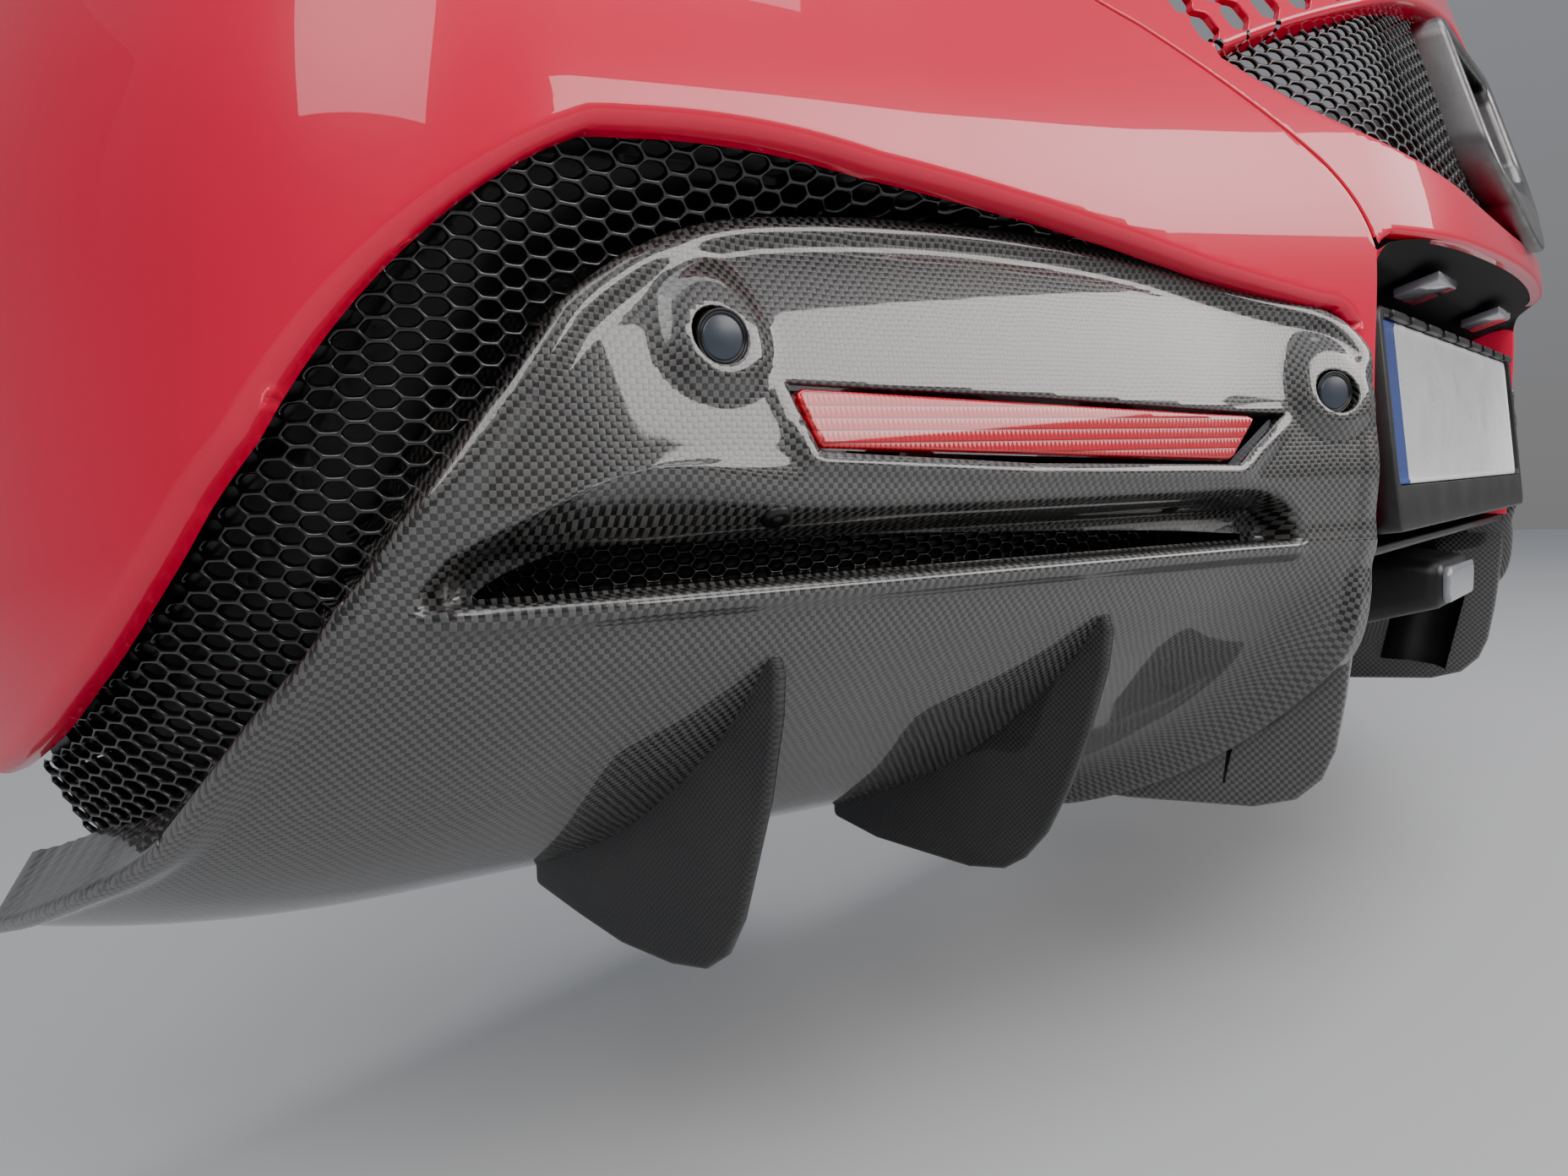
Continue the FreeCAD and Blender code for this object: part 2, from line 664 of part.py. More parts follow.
def sheet_points(stations, height, inset, thickness):
    """Outline of a sheet that follows a plan at an inset, on straight chords."""
    fine = []
    for (x0, y0, h0), (x1, y1, h1) in zip(stations, stations[1:]):
        bend = math.radians(h1 - h0)
        run = math.hypot(x1 - x0, y1 - y0)
        count = SHEET_CHORDS if abs(h1 - h0) > SHEET_BEND else 1
        for k in range(count):
            part = k / count
            along = run * math.sin(bend * part / 2) / math.sin(bend / 2)
            turn = math.radians(h0) + bend * part / 2
            fine.append((x0 - along * math.cos(turn), y0 + along * math.sin(turn),
                         h0 + (h1 - h0) * part))
    fine.append(stations[-1])
    rear = moved_in(fine, inset, 0.0)
    front = moved_in(fine, inset + thickness, 0.0)
    return [at(x, y, height) for x, y, h in rear + front[::-1]]


def flat_sheet(stations, low, high, thickness=MESH_THICKNESS):
    """Sheet of flat facets along a plan, between a lower and an upper height and inset."""
    bottom = sheet_points(stations, *low, thickness)
    top = sheet_points(stations, *high, thickness)
    faces = [Part.Face(Part.makePolygon(ring + [ring[0]])) for ring in (bottom, top)]
    for i, corner in enumerate(bottom):
        beside = (i + 1) % len(bottom)
        corners = [corner, bottom[beside], top[beside], top[i]]
        faces.append(Part.Face(Part.makePolygon(corners + [corner])))
    return Part.makeSolid(Part.makeShell(faces))


def outlet_sheet(depth, thickness):
    """Sheet of flat facets behind the side panel, as high as the outlet."""
    low, high = COVER_LEVELS[0][0], COVER_LEVELS[3][0]
    return flat_sheet(COVER, (low, depth), (high, depth), thickness)


def beside_pod(shape):
    """What of the shape lies outside the pod's edge."""
    return shape.cut([prism(outline(POD_EDGE)),
                      block(-POD_INNER - POD_WALL, 0.0, -FAR, FAR, -FAR, FAR)])


def make_outlet_mesh():
    arch = outline(ARCH)
    sheet = outlet_sheet(OUTLET_MESH_DEPTH, MESH_THICKNESS)
    sheet = beside_pod(sheet.common(prism(arch, BEHIND, OUTLET_MESH_END)))
    return pierced(sheet, OUTLET_CELL, arch, outline(POD_EDGE))


def make_outlet_duct():
    """Blind box behind the outlet's mesh: a wall round the arch, and a back."""
    arch = outline(ARCH)
    around = prism(grown(arch, OUTLET_DUCT_WALL), BEHIND, OUTLET_MESH_END)
    ring = outlet_sheet(OUTLET_DUCT_START, OUTLET_DUCT_BACK - OUTLET_DUCT_START)
    ring = ring.common(around).cut(prism(arch))
    back = outlet_sheet(OUTLET_DUCT_BACK, OUTLET_DUCT_WALL).common(around)
    return largest(beside_pod(ring.fuse(back)))


def slot_back(slot):
    """Wall that closes the slot's duct behind its mesh."""
    low, high = LIP_HEIGHT - RUN_PAST, LIP_HEIGHT + 2 * RUN_PAST
    sheet = flat_sheet(POD, (low, SLOT_BACK_DEPTH), (high, SLOT_BACK_DEPTH), DUCT_WALL)
    return sheet.common(prism(grown(slot, DUCT_WALL)))


def largest(shape):
    return max(shape.Solids, key=lambda solid: solid.Volume)


def make_slot_mesh():
    slot = outline(SLOT)
    low, high = LIP_HEIGHT - RUN_PAST, LIP_HEIGHT + 2 * RUN_PAST
    sheet = flat_sheet(POD, (low, SLOT_MESH_DEPTH), (high, SLOT_MESH_DEPTH))
    return pierced(sheet.common(prism(slot)), SLOT_CELL, slot)


def make_upper_mesh():
    upper = outline(UPPER)
    low, high = [(z, inset + UPPER_MESH_DEPTH) for z, inset, shift in COVER_LEVELS[3:6:2]]
    sheet = flat_sheet(COVER, low, high)
    finisher = outline(FINISHER)
    sheet = sheet.common(prism(upper)).cut(prism(finisher))
    sheet = sheet.cut(block(0.0, FAR, -FAR, FAR, -FAR, FAR))
    return both_halves(pierced(sheet, UPPER_CELL, upper, finisher))


def lean_block(depth):
    """Everything in front of the finisher's leaning rear face, at a depth behind it."""
    ends = [(LEAN_SETBACK + depth + LEAN * (z - LEAN_HEIGHT), z) for z in (0.0, TALL)]
    return side_profile(ends + [(FAR, TALL), (FAR, 0.0)], -RECESS_HALF, 0.0)


def make_finisher():
    body = prism(outline(FINISHER)).common(lean_block(0.0)).cut(lean_block(FINISHER_DEPTH))
    opening = prism(outline(FINISHER_OPENING)).cut(lean_block(FINISHER_DEPTH - FINISHER_FLOOR))
    pipe = Part.makeCylinder(PIPE_R, FAR, at(0.0, BEHIND, PIPE_HEIGHT), FreeCAD.Vector(0, 1, 0))
    hollow = prism(polygon(FINISHER_HOLLOW)).common(lean_block(FINISHER_FLOOR))
    return both_halves(body.cut([opening, pipe, hollow]))


def make_tail_pipe():
    start = at(0.0, PIPE_REAR, PIPE_HEIGHT)
    along = FreeCAD.Vector(0, 1, 0)
    pipe = Part.makeCylinder(PIPE_R, PIPE_FRONT - PIPE_REAR, start, along)
    return pipe.cut(Part.makeCylinder(PIPE_R - PIPE_WALL, PIPE_FRONT - PIPE_REAR, start, along))


def make_centre_floor():
    lower = list(CENTRE_ROOF)
    ledge = RECESS_FLOOR - RECESS_WALL
    upper = [(y, z + CENTRE_WALL) for y, z in lower[2:]][::-1]
    upper += [(lower[1][0], ledge), (lower[0][0], ledge)]
    floor = side_profile(lower + upper, -CENTRE_HALF, CENTRE_HALF)
    bolts = [Part.makeCylinder(UNDERTRAY_BOLT_R, FAR, at(across, CENTRE_END - UNDERTRAY_EDGE, -TALL))
             for across in UNDERTRAY_BOLTS]
    return floor.cut(bolts)


def below_floor():
    """Room under the centre floor, for trimming what hangs from it."""
    lower = list(CENTRE_ROOF)
    points = lower + [(lower[-1][0], -TALL), (BEHIND, -TALL), (BEHIND, lower[0][1])]
    return side_profile(points, -CENTRE_HALF, CENTRE_HALF)


def make_lamp():
    def section(y, half, top, floor):
        corners = [at(-half, y, floor), at(half, y, floor), at(half, y, top), at(-half, y, top)]
        return Part.makePolygon(corners + [corners[0]])
    body = Part.makeLoft([
        section(LAMP_REAR + LENS_THICKNESS, LAMP_REAR_HALF, LAMP_REAR_TOP, LAMP_REAR_FLOOR),
        section(LAMP_FRONT, LAMP_FRONT_HALF, LAMP_FRONT_TOP, LAMP_FRONT_FLOOR),
    ], True, True)
    lens = block(-LAMP_REAR_HALF, LAMP_REAR_HALF, LAMP_REAR, LAMP_REAR + LENS_THICKNESS,
                 LAMP_REAR_FLOOR, LAMP_REAR_TOP)
    return body.common(below_floor()), lens


def tilted(shape):
    shape.rotate(at(0.0, 0.0, 0.0), FreeCAD.Vector(1, 0, 0), -PLATE_TILT)
    return shape


def make_plate():
    half_x, half_z = PLATE_LENGTH / 2, PLATE_HEIGHT / 2
    plate = block(-half_x, half_x, 0.0, PLATE_THICKNESS, -half_z, half_z)
    carrier = block(-CARRIER_HALF, CARRIER_HALF, -CARRIER_LIP, CARRIER_DEPTH, CARRIER_FLOOR,
                    CARRIER_TOP)
    pocket = block(-half_x, half_x, -2 * CARRIER_LIP, PLATE_THICKNESS, -half_z, half_z)
    carrier = tilted(carrier.cut(pocket))
    run = CARRIER_DEPTH / 2
    bosses = [Part.makeCylinder(CARRIER_BOSS_R, RECESS_BACK - run,
                                at(sx * CARRIER_BOSS_ACROSS, run, z), FreeCAD.Vector(0, 1, 0))
              for sx in (-1, 1) for z in CARRIER_BOSS_HEIGHTS]
    return tilted(plate), carrier.fuse(bosses)


def make_plate_lamp():
    across = -PLATE_LAMP_ACROSS
    bar = block(across - PLATE_LAMP_HALF, across + PLATE_LAMP_HALF, PLATE_LAMP_REAR,
                PLATE_LAMP_REAR + PLATE_LAMP_DEPTH, 0.0, RECESS_TOP + RUN_PAST)
    space = side_profile(recess_profile(), -RECESS_HALF, 0.0)
    lowered = space.copy()
    lowered.translate(FreeCAD.Vector(0, 0, -PLATE_LAMP_DROP))
    return bar.common(space).cut(lowered)


def make_beam():
    y0, y1 = BEAM_SETBACK, BEAM_SETBACK + BEAM_DEPTH
    z = BEAM_HEIGHT / 2
    w = BEAM_WALL
    beam = block(-BEAM_HALF, BEAM_HALF, y0, y1, -z, z)
    chambers = [block(-BEAM_HALF - 1, BEAM_HALF + 1, y0 + w, y1 - w, z0, z1)
                for z0, z1 in ((-z + w, -w / 2), (w / 2, z - w))]
    return beam.cut(chambers)


def make_crash_box():
    y0, y1 = BEAM_SETBACK + BEAM_DEPTH, -REAR_DATUM_Y
    y_flange = y1 - FLANGE_THICKNESS
    x, half_w, half_h = -BOX_ACROSS, BOX_WIDTH / 2, BOX_HEIGHT / 2
    w = BEAM_WALL
    box = block(x - half_w, x + half_w, y0, y_flange, -half_h, half_h)
    box = box.cut(block(x - half_w + w, x + half_w - w, y0 - 1, y_flange, -half_h + w, half_h - w))
    flange = block(x - FLANGE_WIDTH / 2, x + FLANGE_WIDTH / 2, y_flange, y1,
                   -FLANGE_HEIGHT / 2, FLANGE_HEIGHT / 2)
    bolts = [Part.makeCylinder(BOLT_R, 2 * FLANGE_THICKNESS,
                               at(x + sx * BOLT_SPACING_X / 2, y_flange - 5.0,
                                  sz * BOLT_SPACING_Z / 2), FreeCAD.Vector(0, 1, 0))
             for sx in (-1, 1) for sz in (-1, 1)]
    return box.fuse(flange.cut(bolts))


def make_recess_bracket():
    """Tube from the beam's rear face to the recess's back wall."""
    x, half = -RECESS_BRACKET_ACROSS, RECESS_BRACKET_HALF
    y0, y1 = RECESS_BACK + RECESS_WALL, BEAM_SETBACK
    w = BRACKET_WALL
    tube = block(x - half, x + half, y0, y1, -half, half)
    return tube.cut(block(x - half + w, x + half - w, y0 - 1, y1 + 1, -half + w, half - w))


def make_floor_stay():
    """Plate hung from the beam's underside that carries the centre floor."""
    y0, y1 = BEAM_SETBACK + BEAM_WALL, BEAM_SETBACK + BEAM_DEPTH
    x = -FLOOR_STAY_ACROSS
    stay = block(x - BRACKET_WALL / 2, x + BRACKET_WALL / 2, y0, y1, STAY_FLOOR, -BEAM_HEIGHT / 2)
    foot = block(x - FLOOR_STAY_FOOT, x + FLOOR_STAY_FOOT, y0, y1, STAY_FLOOR, RECESS_FLOOR)
    under = below_floor()
    under.translate(FreeCAD.Vector(0, 0, CENTRE_WALL))
    above = under.copy()
    above.translate(FreeCAD.Vector(0, 0, BRACKET_WALL))
    return stay.cut(under).fuse(foot.common(above).cut(under))


def make_pod_stay(hollow):
    """Plate hung from the beam's end that carries a pod's ramp."""
    x = -POD_STAY_ACROSS
    stay = block(x - BRACKET_WALL / 2, x + BRACKET_WALL / 2, BEAM_SETBACK,
                 BEAM_SETBACK + BEAM_DEPTH, STAY_FLOOR, -BEAM_HEIGHT / 2)
    return stay.common(hollow)


def make_fender_bracket():
    """Flange inside the side panel's front end, bolted to the fender."""
    x0, x1, z0, z1 = FENDER_BRACKET
    plate = block(-x1, -x0, COVER_BACK - FENDER_PLATE, COVER_BACK, z0, z1)
    bolts = [Part.makeCylinder(FENDER_BOLT_R, FAR, at(-FENDER_BOLT_ACROSS, 0.0, z),
                               FreeCAD.Vector(0, 1, 0)) for z in FENDER_BOLTS]
    return plate.common(cover_inside(COVER_WALL)).cut(bolts)


def save(name, shape):
    shape.exportStep("parts/" + name + ".step")


def save_pair(name, shape):
    save(name + "_left", shape)
    save(name + "_right", mirror_x(shape))


def main():
    os.makedirs("parts", exist_ok=True)
    centre, side = make_cover()
    save("centre_panel", both_halves(centre))
    save_pair("side_panel", side)
    pod, whole, hollow = make_pod()
    save_pair("diffuser_pod", pod)
    for name, across, points in STRAKES:
        save_pair("strake_" + name, make_strake(across, points, whole))
    save_pair("reflector", make_reflector(whole))
    for name, across, height in SENSORS:
        save_pair("parking_sensor_" + name, make_sensor(across, height))
    for name, across, setback, height in PINS:
        save_pair("push_pin_" + name, make_pin(across, setback, height, whole))
    save_pair("outlet_mesh", make_outlet_mesh())
    save_pair("outlet_duct", make_outlet_duct())
    save_pair("slot_mesh", make_slot_mesh())
    save("upper_mesh", make_upper_mesh())
    save("exhaust_finisher", make_finisher())
    save("tail_pipe", make_tail_pipe())
    save("centre_floor", make_centre_floor())
    body, lens = make_lamp()
    save("centre_lamp_housing", body)
    save("centre_lamp_lens", lens)
    plate, carrier = make_plate()
    save("number_plate", plate)
    save("plate_carrier", carrier)
    save_pair("plate_lamp", make_plate_lamp())
    save("crash_beam", make_beam())
    save_pair("crash_box", make_crash_box())
    save_pair("recess_bracket", make_recess_bracket())
    save_pair("floor_stay", make_floor_stay())
    save_pair("pod_stay", make_pod_stay(hollow))
    save_pair("fender_bracket", make_fender_bracket())


main()
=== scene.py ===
"""Rear bumper assembly of a mid-engined supercar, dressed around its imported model.

Sizes are in millimetres where they describe the car: x to its right, y forwards from the number
plate's face, z up. The function place() turns them into the frame's metres. The left side is
worked out and the right side is its mirror image.
"""
import math
from contextlib import contextmanager

import bmesh
import bpy
import numpy as np
from bpy.props import FloatProperty, FloatVectorProperty, PointerProperty
from mathutils import Matrix, Vector


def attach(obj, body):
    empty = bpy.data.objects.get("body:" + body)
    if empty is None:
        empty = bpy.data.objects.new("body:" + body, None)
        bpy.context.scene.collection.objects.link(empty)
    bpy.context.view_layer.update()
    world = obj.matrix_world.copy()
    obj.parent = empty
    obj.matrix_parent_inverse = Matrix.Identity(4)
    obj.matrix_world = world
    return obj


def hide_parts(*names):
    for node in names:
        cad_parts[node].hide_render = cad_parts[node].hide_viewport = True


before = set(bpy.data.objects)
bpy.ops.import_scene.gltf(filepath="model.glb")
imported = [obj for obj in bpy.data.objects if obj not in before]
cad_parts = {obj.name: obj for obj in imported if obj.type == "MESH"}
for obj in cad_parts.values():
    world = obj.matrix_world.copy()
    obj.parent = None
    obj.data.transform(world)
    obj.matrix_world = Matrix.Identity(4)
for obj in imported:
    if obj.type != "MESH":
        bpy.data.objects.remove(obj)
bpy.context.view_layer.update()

bl_info = {
    "name": "Rear Bumper Dressing",
    "version": (1, 0, 0),
    "blender": (4, 5, 0),
    "location": "3D View > Sidebar > Bumper",
    "description": "Builds painted panels, carbon pods, meshes and trim around a packed bumper",
    "category": "Object",
}

# The plate's face lies this far behind the frame's origin, which is on the chassis face.
PLATE_FACE_Y = -330.0

# Joints of the panels' outline from above and of the pod's, from the middle outwards.
COVER_PLAN = ((0, -47), (-172, -36), (-290, 4), (-450, 76), (-671, 138), (-796, 171),
              (-870, 217), (-907, 286), (-930, 545))
POD_PLAN = ((-270, -7), (-318, 17), (-350, 38), (-400, 61.8), (-760, 190), (-862, 262),
            (-915, 360), (-930, 470), (-930, 540))
POD_START_HEADING = 17.6
# Side section of the panels: height, inset, shift forwards.
COVER_ROWS = ((-250, 30, 0), (-110, 4, 0), (20, 0, 0), (120, 2, 0), (215, 26, 0), (345, 70, 0))
# Side section of the pod where the slot runs, and at its two ends, where the slot has died out.
POD_TOP_ROWS = ((104, 30, 0), (100, 28, 0), (60, 12, 0), (15, 0, 0))
SLOT_ROWS = ((-25, -7, 0), (-42, -8.5, 0), (-52, -6, 0), (-60, 6, 0), (-67, 19, 0), (-76, 22.5, 0),
             (-83, 22.5, 0), (-86.5, 20, 0), (-86.8, 8, -1), (-86, 0, -3), (-85.2, -3, -5),
             (-87, -4.8, -7), (-91, -4.8, -7.5), (-94.5, -3.2, -6.5), (-96.5, -1.2, -5),
             (-99, 0, -3), (-104, 0, -1))
PLAIN_ROWS = ((-25, -6, 0), (-42, -7.5, 0), (-52, -7, 0), (-60, -6.2, 0), (-67, -5.5, 0),
              (-76, -4, -1), (-81, -3.2, -2), (-84, -2.6, -2.6), (-86, -2.2, -3), (-87.5, -2, -3.4),
              (-88.8, -1.6, -3.8), (-90.2, -1.2, -4), (-92, -1, -4), (-94, -0.6, -4),
              (-96.5, -0.3, -3.6), (-99, 0, -3), (-104, 0, -1))
# Where the slot's shape begins and is full at its inner end, and again at its outer end, by height.
SLOT_ENDS = ((-25, -384, -410, -690, -752), (-42, -368, -392, -752, -790),
             (-52, -360, -380, -780, -808), (-60, -352, -368, -796, -819),
             (-67, -346, -358, -808, -827), (-80, -342, -351, -822, -835),
             (-100, -341, -350, -824, -838))
SLOT_LIFT, SLOT_LIFT_ACROSS = 10.0, -752.0
RAMP_ROWS = ((-120, 0, 6), (-166, 0, 42), (-218, 0, 108), (-255, 0, 190), (-266, 0, 250),
             (-268, 0, 300), (-268, 0, 510))

# Outlines seen from behind, as spans of start, a point on the arc or None, and end.
ARCH = (((-302, -240), None, (-302, 36)), ((-302, 36), (-306, 51), (-322, 57)),
        ((-322, 57), None, (-410, 73)), ((-410, 73), (-514, 91), (-640, 103)),
        ((-640, 103), (-724, 107), (-786, 101)), ((-786, 101), (-856, 50), (-896, -21)))
# The front of the outlet's and of the pod's edge, where the side runs along the car: set-back and
# height.
ARCH_FRONT = ((279, -43), (299, -64), (341, -101), (374, -124), (409, -145),
              (456, -165), (645, -227))
POD_FRONT = ((209, 2), (222, -35), (242, -70), (266, -104), (294, -131), (316, -151), (344, -174),
             (370, -193), (400, -209), (430, -221), (464, -234), (496, -245), (600, -272))
POD_INNER = 290.0
POD_EDGE = (((-290, -262), None, (-290, 30)), ((-290, 30), (-304, 50), (-330, 62)),
            ((-330, 62), None, (-430, 82)), ((-430, 82), (-562, 91), (-675, 84)),
            ((-675, 84), (-734, 67), (-782, 34)))
SEAM = (((-284, 92), (-294, 118), (-318, 150)), ((-318, 150), (-360, 182), (-430, 217)),
        ((-430, 217), (-560, 272), (-700, 400)), ((-700, 400), None, (60, 400)),
        ((60, 400), None, (60, 92)), ((60, 92), None, (-284, 92)))
UPPER = (((60, 128), None, (0, 128)), ((0, 128), (-200, 147), (-362, 206)),
         ((-362, 206), (-367, 211), (-360, 214)), ((-360, 214), (-202, 271), (0, 306)),
         ((0, 306), None, (60, 306)), ((60, 306), None, (60, 128)))
SLOT = (((-352, -81), None, (-396, -77)), ((-396, -77), (-560, -69), (-677, -66)),
        ((-677, -66), None, (-748, -65)), ((-748, -65), (-784, -70), (-806, -85)),
        ((-806, -85), None, (-352, -85)), ((-352, -85), (-349, -83), (-352, -81)))
FINISHER = (((0, 288), None, (-86, 288)), ((-86, 288), (-97, 284), (-101, 272)),
            ((-101, 272), None, (-101, 196)), ((-101, 196), (-92, 172), (-60, 148)),
            ((-60, 148), (-30, 127), (0, 121)))
# The finisher's rear face: set-back at a height, and how far it leans forwards per millimetre up.
FINISHER_FACE, FINISHER_LEAN = (-56.0, 118.0), 0.337
FINISHER_OPENING = ((0, 276), (-76, 276), (-84, 273), (-87, 265), (-87, 208), (-80, 192),
                    (-58, 178), (0, 172))
POCKET = ((-354, -8), (-541, 1), (-682, 6), (-671, -26), (-546, -34), (-393, -38))
REFLECTOR = ((-372, -9), (-677, 4), (-668, -24), (-396, -35))
RECESS_HALF, RECESS_TOP, RECESS_FLOOR = 284.0, 104.0, -92.0
RECESS_BACK, RECESS_BACK_TOP = 46.0, 74.0
RECESS_CORNER = 16.0
# How widely the panel turns in round the outlet.
ARCH_ROLL = 9.0
# The panel's lower edge beside the recess, and how far out it runs.
PANEL_FOOT, PANEL_FOOT_END = -96.0, -500.0
# Wheel arch: set-back, height, radius.
WHEEL = (860.0, -105.0, 392.0)
# Front ends of the pod and of the outlet's mesh and box.
POD_END, OUTLET_END = 518.0, 470.0
# How deep the pod's edge lies behind the panel, and how deep its lip runs.
POD_SETBACK, POD_LIP = 34.0, 34.0
# How far the pod's rim, the sensors' bosses and the pocket's lip stand proud.
RIM_HEIGHT, BOSS_HEIGHT, POCKET_LIP = 4.6, 5.0, 3.2
# Lip along the joint between panels: radius, depth, steps.
SEAM_LIP = (1.2, 8.0, 3)

# Honeycomb cells: width, height, bar.
OUTLET_CELL = (17.8, 8.8, 2.0)
UPPER_CELL = (16.0, 8.8, 2.0)
SLOT_CELL = (11.5, 6.6, 1.6)
# Depths behind the skin, where there are two by the arch and by the pod. The outlet's box and the
# slot's back wall are dark sheets of painted shade behind the meshes.
OUTLET_MESH_DEPTHS, OUTLET_SHADE_BOX_DEPTHS = (24.0, 42.0), (52.0, 74.0)
UPPER_MESH_DEPTH, SLOT_MESH_DEPTH, SLOT_SHADE_BACK_DEPTH = 16.0, 48.0, 56.0
# Walls that rise from the dark boxes' backs, and the flange that runs on behind the panel: more
# painted shade round the meshes.
ARCH_WALL, ARCH_FLANGE, POD_WALL, END_WALL, SLOT_WALL = 25.0, 32.0, 34.0, 24.0, 26.0
# Holes above the upper mesh: size, spacing, then each row's rise and start.
HOLE_RADIUS, HOLE_PITCH, HOLES = 11.0, 28.0, 10
HOLE_ROWS = ((16.0, -372.0), (38.0, -386.0))

# Sensors in the pod's face: across, height. Push pins in its underside: across, set-back, height.
SENSORS = (("outer", -712.0, 25.0), ("inner", -322.0, 4.0))
SENSOR_BORE, SENSOR_LIFT = 12.9, 4.4
PINS = (("outer", -686.0, 166.0, -55.0), ("inner", -419.0, 82.0, -60.0))
PIN_AXIS = (-0.2, -0.57, -0.8)
# Turned pieces: radius and how far out along the axis.
SENSOR_RINGS = ((9.4, 1.6), (9.9, 1.4), (10.2, 0.6), (10.6, 1.5), (11.0, 1.8), (11.4, 1.5),
                (11.6, 0.8), (11.9, 1.6), (12.5, 1.9), (13.1, 1.4), (13.2, -0.5), (13.2, -26.0))
PIN_RINGS = ((0.0, 3.6), (2.2, 3.4), (2.8, 2.8), (3.2, 2.4), (5.2, 3.2), (6.6, 2.6), (7.6, 1.0),
             (7.8, -0.4), (7.0, -2.5))
PIPE_RINGS = ((37.0, -200.0), (37.0, -3.0), (38.0, 0.0), (39.4, 0.4), (40.0, -1.2), (40.0, -200.0))

# Plate, carrier and lamp lens: half width, foot and top, then rows of inset, corner and set-back.
PLATE_TILT = 6.0
PLATE = (260, -55, 55, ((0, 8, 1.6), (0, 8, 0.4), (0.6, 7.6, 0.0), (2.6, 6.4, 0.0),
                        (3.4, 5.8, 0.7)))
CARRIER = (272, -86, 62, ((0, 12, 26), (0, 12, -1.5), (0.8, 11.4, -2.8), (2.0, 10.5, -3.2)))
CARRIER_HOLLOW = (261, -56, 56, ((-1.0, 8, -3.2), (-0.3, 7.6, -2.8), (0, 7, -1.8), (0, 7, 1.6)))
LAMP_LENS = (52, -153, -124, ((0, 9, 4), (0, 9, -2.4), (1.2, 8, -3.6), (5, 6, -4.0)))

# Strakes: across, then their edge as set-back and height.
STRAKES = (
    ("outer", -683.0, ((172, -112), (167, -130), (169, -151), (178, -193), (189, -228), (198, -256),
                       (209, -276), (223, -286), (247, -289), (285, -286), (319, -277),
                       (355, -266), (355, -225), (240, -112))),
    ("inner", -478.0, ((98, -112), (93, -130), (96, -151), (108, -191), (121, -225), (135, -253),
                       (150, -271), (164, -280), (188, -283), (219, -280), (258, -276),
                       (293, -266), (293, -225), (160, -112))),
)
STRAKE_THICKNESS = 9.0
FENCE = ((8, 30), (3, 3), (3, -51), (5, -97), (8, -135), (14, -190), (20, -226), (28, -246),
         (44, -262), (72, -271), (160, -277), (300, -277), (518, -274), (518, -258), (340, -250),
         (300, -236), (160, -180), (70, -60), (44, 30))
FENCE_THICKNESS, FENCE_GAP = 10.0, 0.5
CENTRE_FLOOR = ((8, -102), (50, -104), (84, -118), (150, -152), (240, -206), (340, -256),
                (390, -264), (430, -264))
CENTRE_FLOOR_HALF = 289.6

# Edges that bend by more than this many degrees are rounded.
SHARP_ANGLE = 30.0

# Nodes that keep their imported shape, with their slots.
STRUCTURE = (("crash_beam", "beam_aluminium"),) + tuple(
    (name + "_" + side, slot)
    for name, slot in (("crash_box", "beam_aluminium"), ("recess_bracket", "bracket_steel"),
                       ("floor_stay", "bracket_steel"), ("pod_stay", "bracket_steel"),
                       ("fender_bracket", "bracket_steel"))
    for side in ("left", "right"))

# Camera: yaw, pitch and roll in degrees, place in the frame's metres, lens in millimetres.
CAMERA_ANGLES = (50.8, -5.05, -1.96)
CAMERA_PLACE = (-1.1074, -0.5112, -0.0403)
CAMERA_LENS = 27.04


# --- geometry helpers

def place(points):
    """Points from the car's millimetres to the frame's metres."""
    moved = np.asarray(points, float) + (0.0, PLATE_FACE_Y, 0.0)
    return moved / 1000.0


def arc_points(a, m, b, step=4.0):
    """Points from a to b on the circle through m, without the last."""
    (ax, ay), (bx, by), (cx, cy) = a, m, b
    d = 2 * (ax * (by - cy) + bx * (cy - ay) + cx * (ay - by))
    ux = ((ax * ax + ay * ay) * (by - cy) + (bx * bx + by * by) * (cy - ay)
          + (cx * cx + cy * cy) * (ay - by)) / d
    uy = ((ax * ax + ay * ay) * (cx - bx) + (bx * bx + by * by) * (ax - cx)
          + (cx * cx + cy * cy) * (bx - ax)) / d
    radius = math.hypot(ax - ux, ay - uy)
    start = math.atan2(ay - uy, ax - ux)
    turn = math.atan2(cy - uy, cx - ux) - start
    middle = math.atan2(by - uy, bx - ux) - start
    turn %= 2 * math.pi
    if middle % (2 * math.pi) > turn:
        turn -= 2 * math.pi
    count = max(2, int(abs(turn) * radius / step))
    return [(ux + radius * math.cos(start + turn * k / count),
             uy + radius * math.sin(start + turn * k / count)) for k in range(count)]


def outline_points(spans, step=4.0):
    """Closed outline as points."""
    points = []
    for start, middle, end in spans:
        points += [start] if middle is None else arc_points(start, middle, end, step)
    return np.array(points, float)


def polygon_distance(x, z, points):
    """Signed distance from a closed outline, positive outside it."""
    a = np.asarray(points, float)
    b = np.roll(a, -1, 0)
    best = np.full(len(x), 1e9)
    inside = np.zeros(len(x), bool)
    for (x0, z0), (x1, z1) in zip(a, b):
        dx, dz = x1 - x0, z1 - z0
        length = dx * dx + dz * dz
        if length < 1e-12:
            continue
        part = np.clip(((x - x0) * dx + (z - z0) * dz) / length, 0, 1)
        best = np.minimum(best, np.hypot(x - x0 - dx * part, z - z0 - dz * part))
        if z0 != z1:
            crosses = (z0 > z) != (z1 > z)
            inside ^= crosses & (x < x0 + (z - z0) * dx / (z1 - z0))
    return np.where(inside, -best, best)


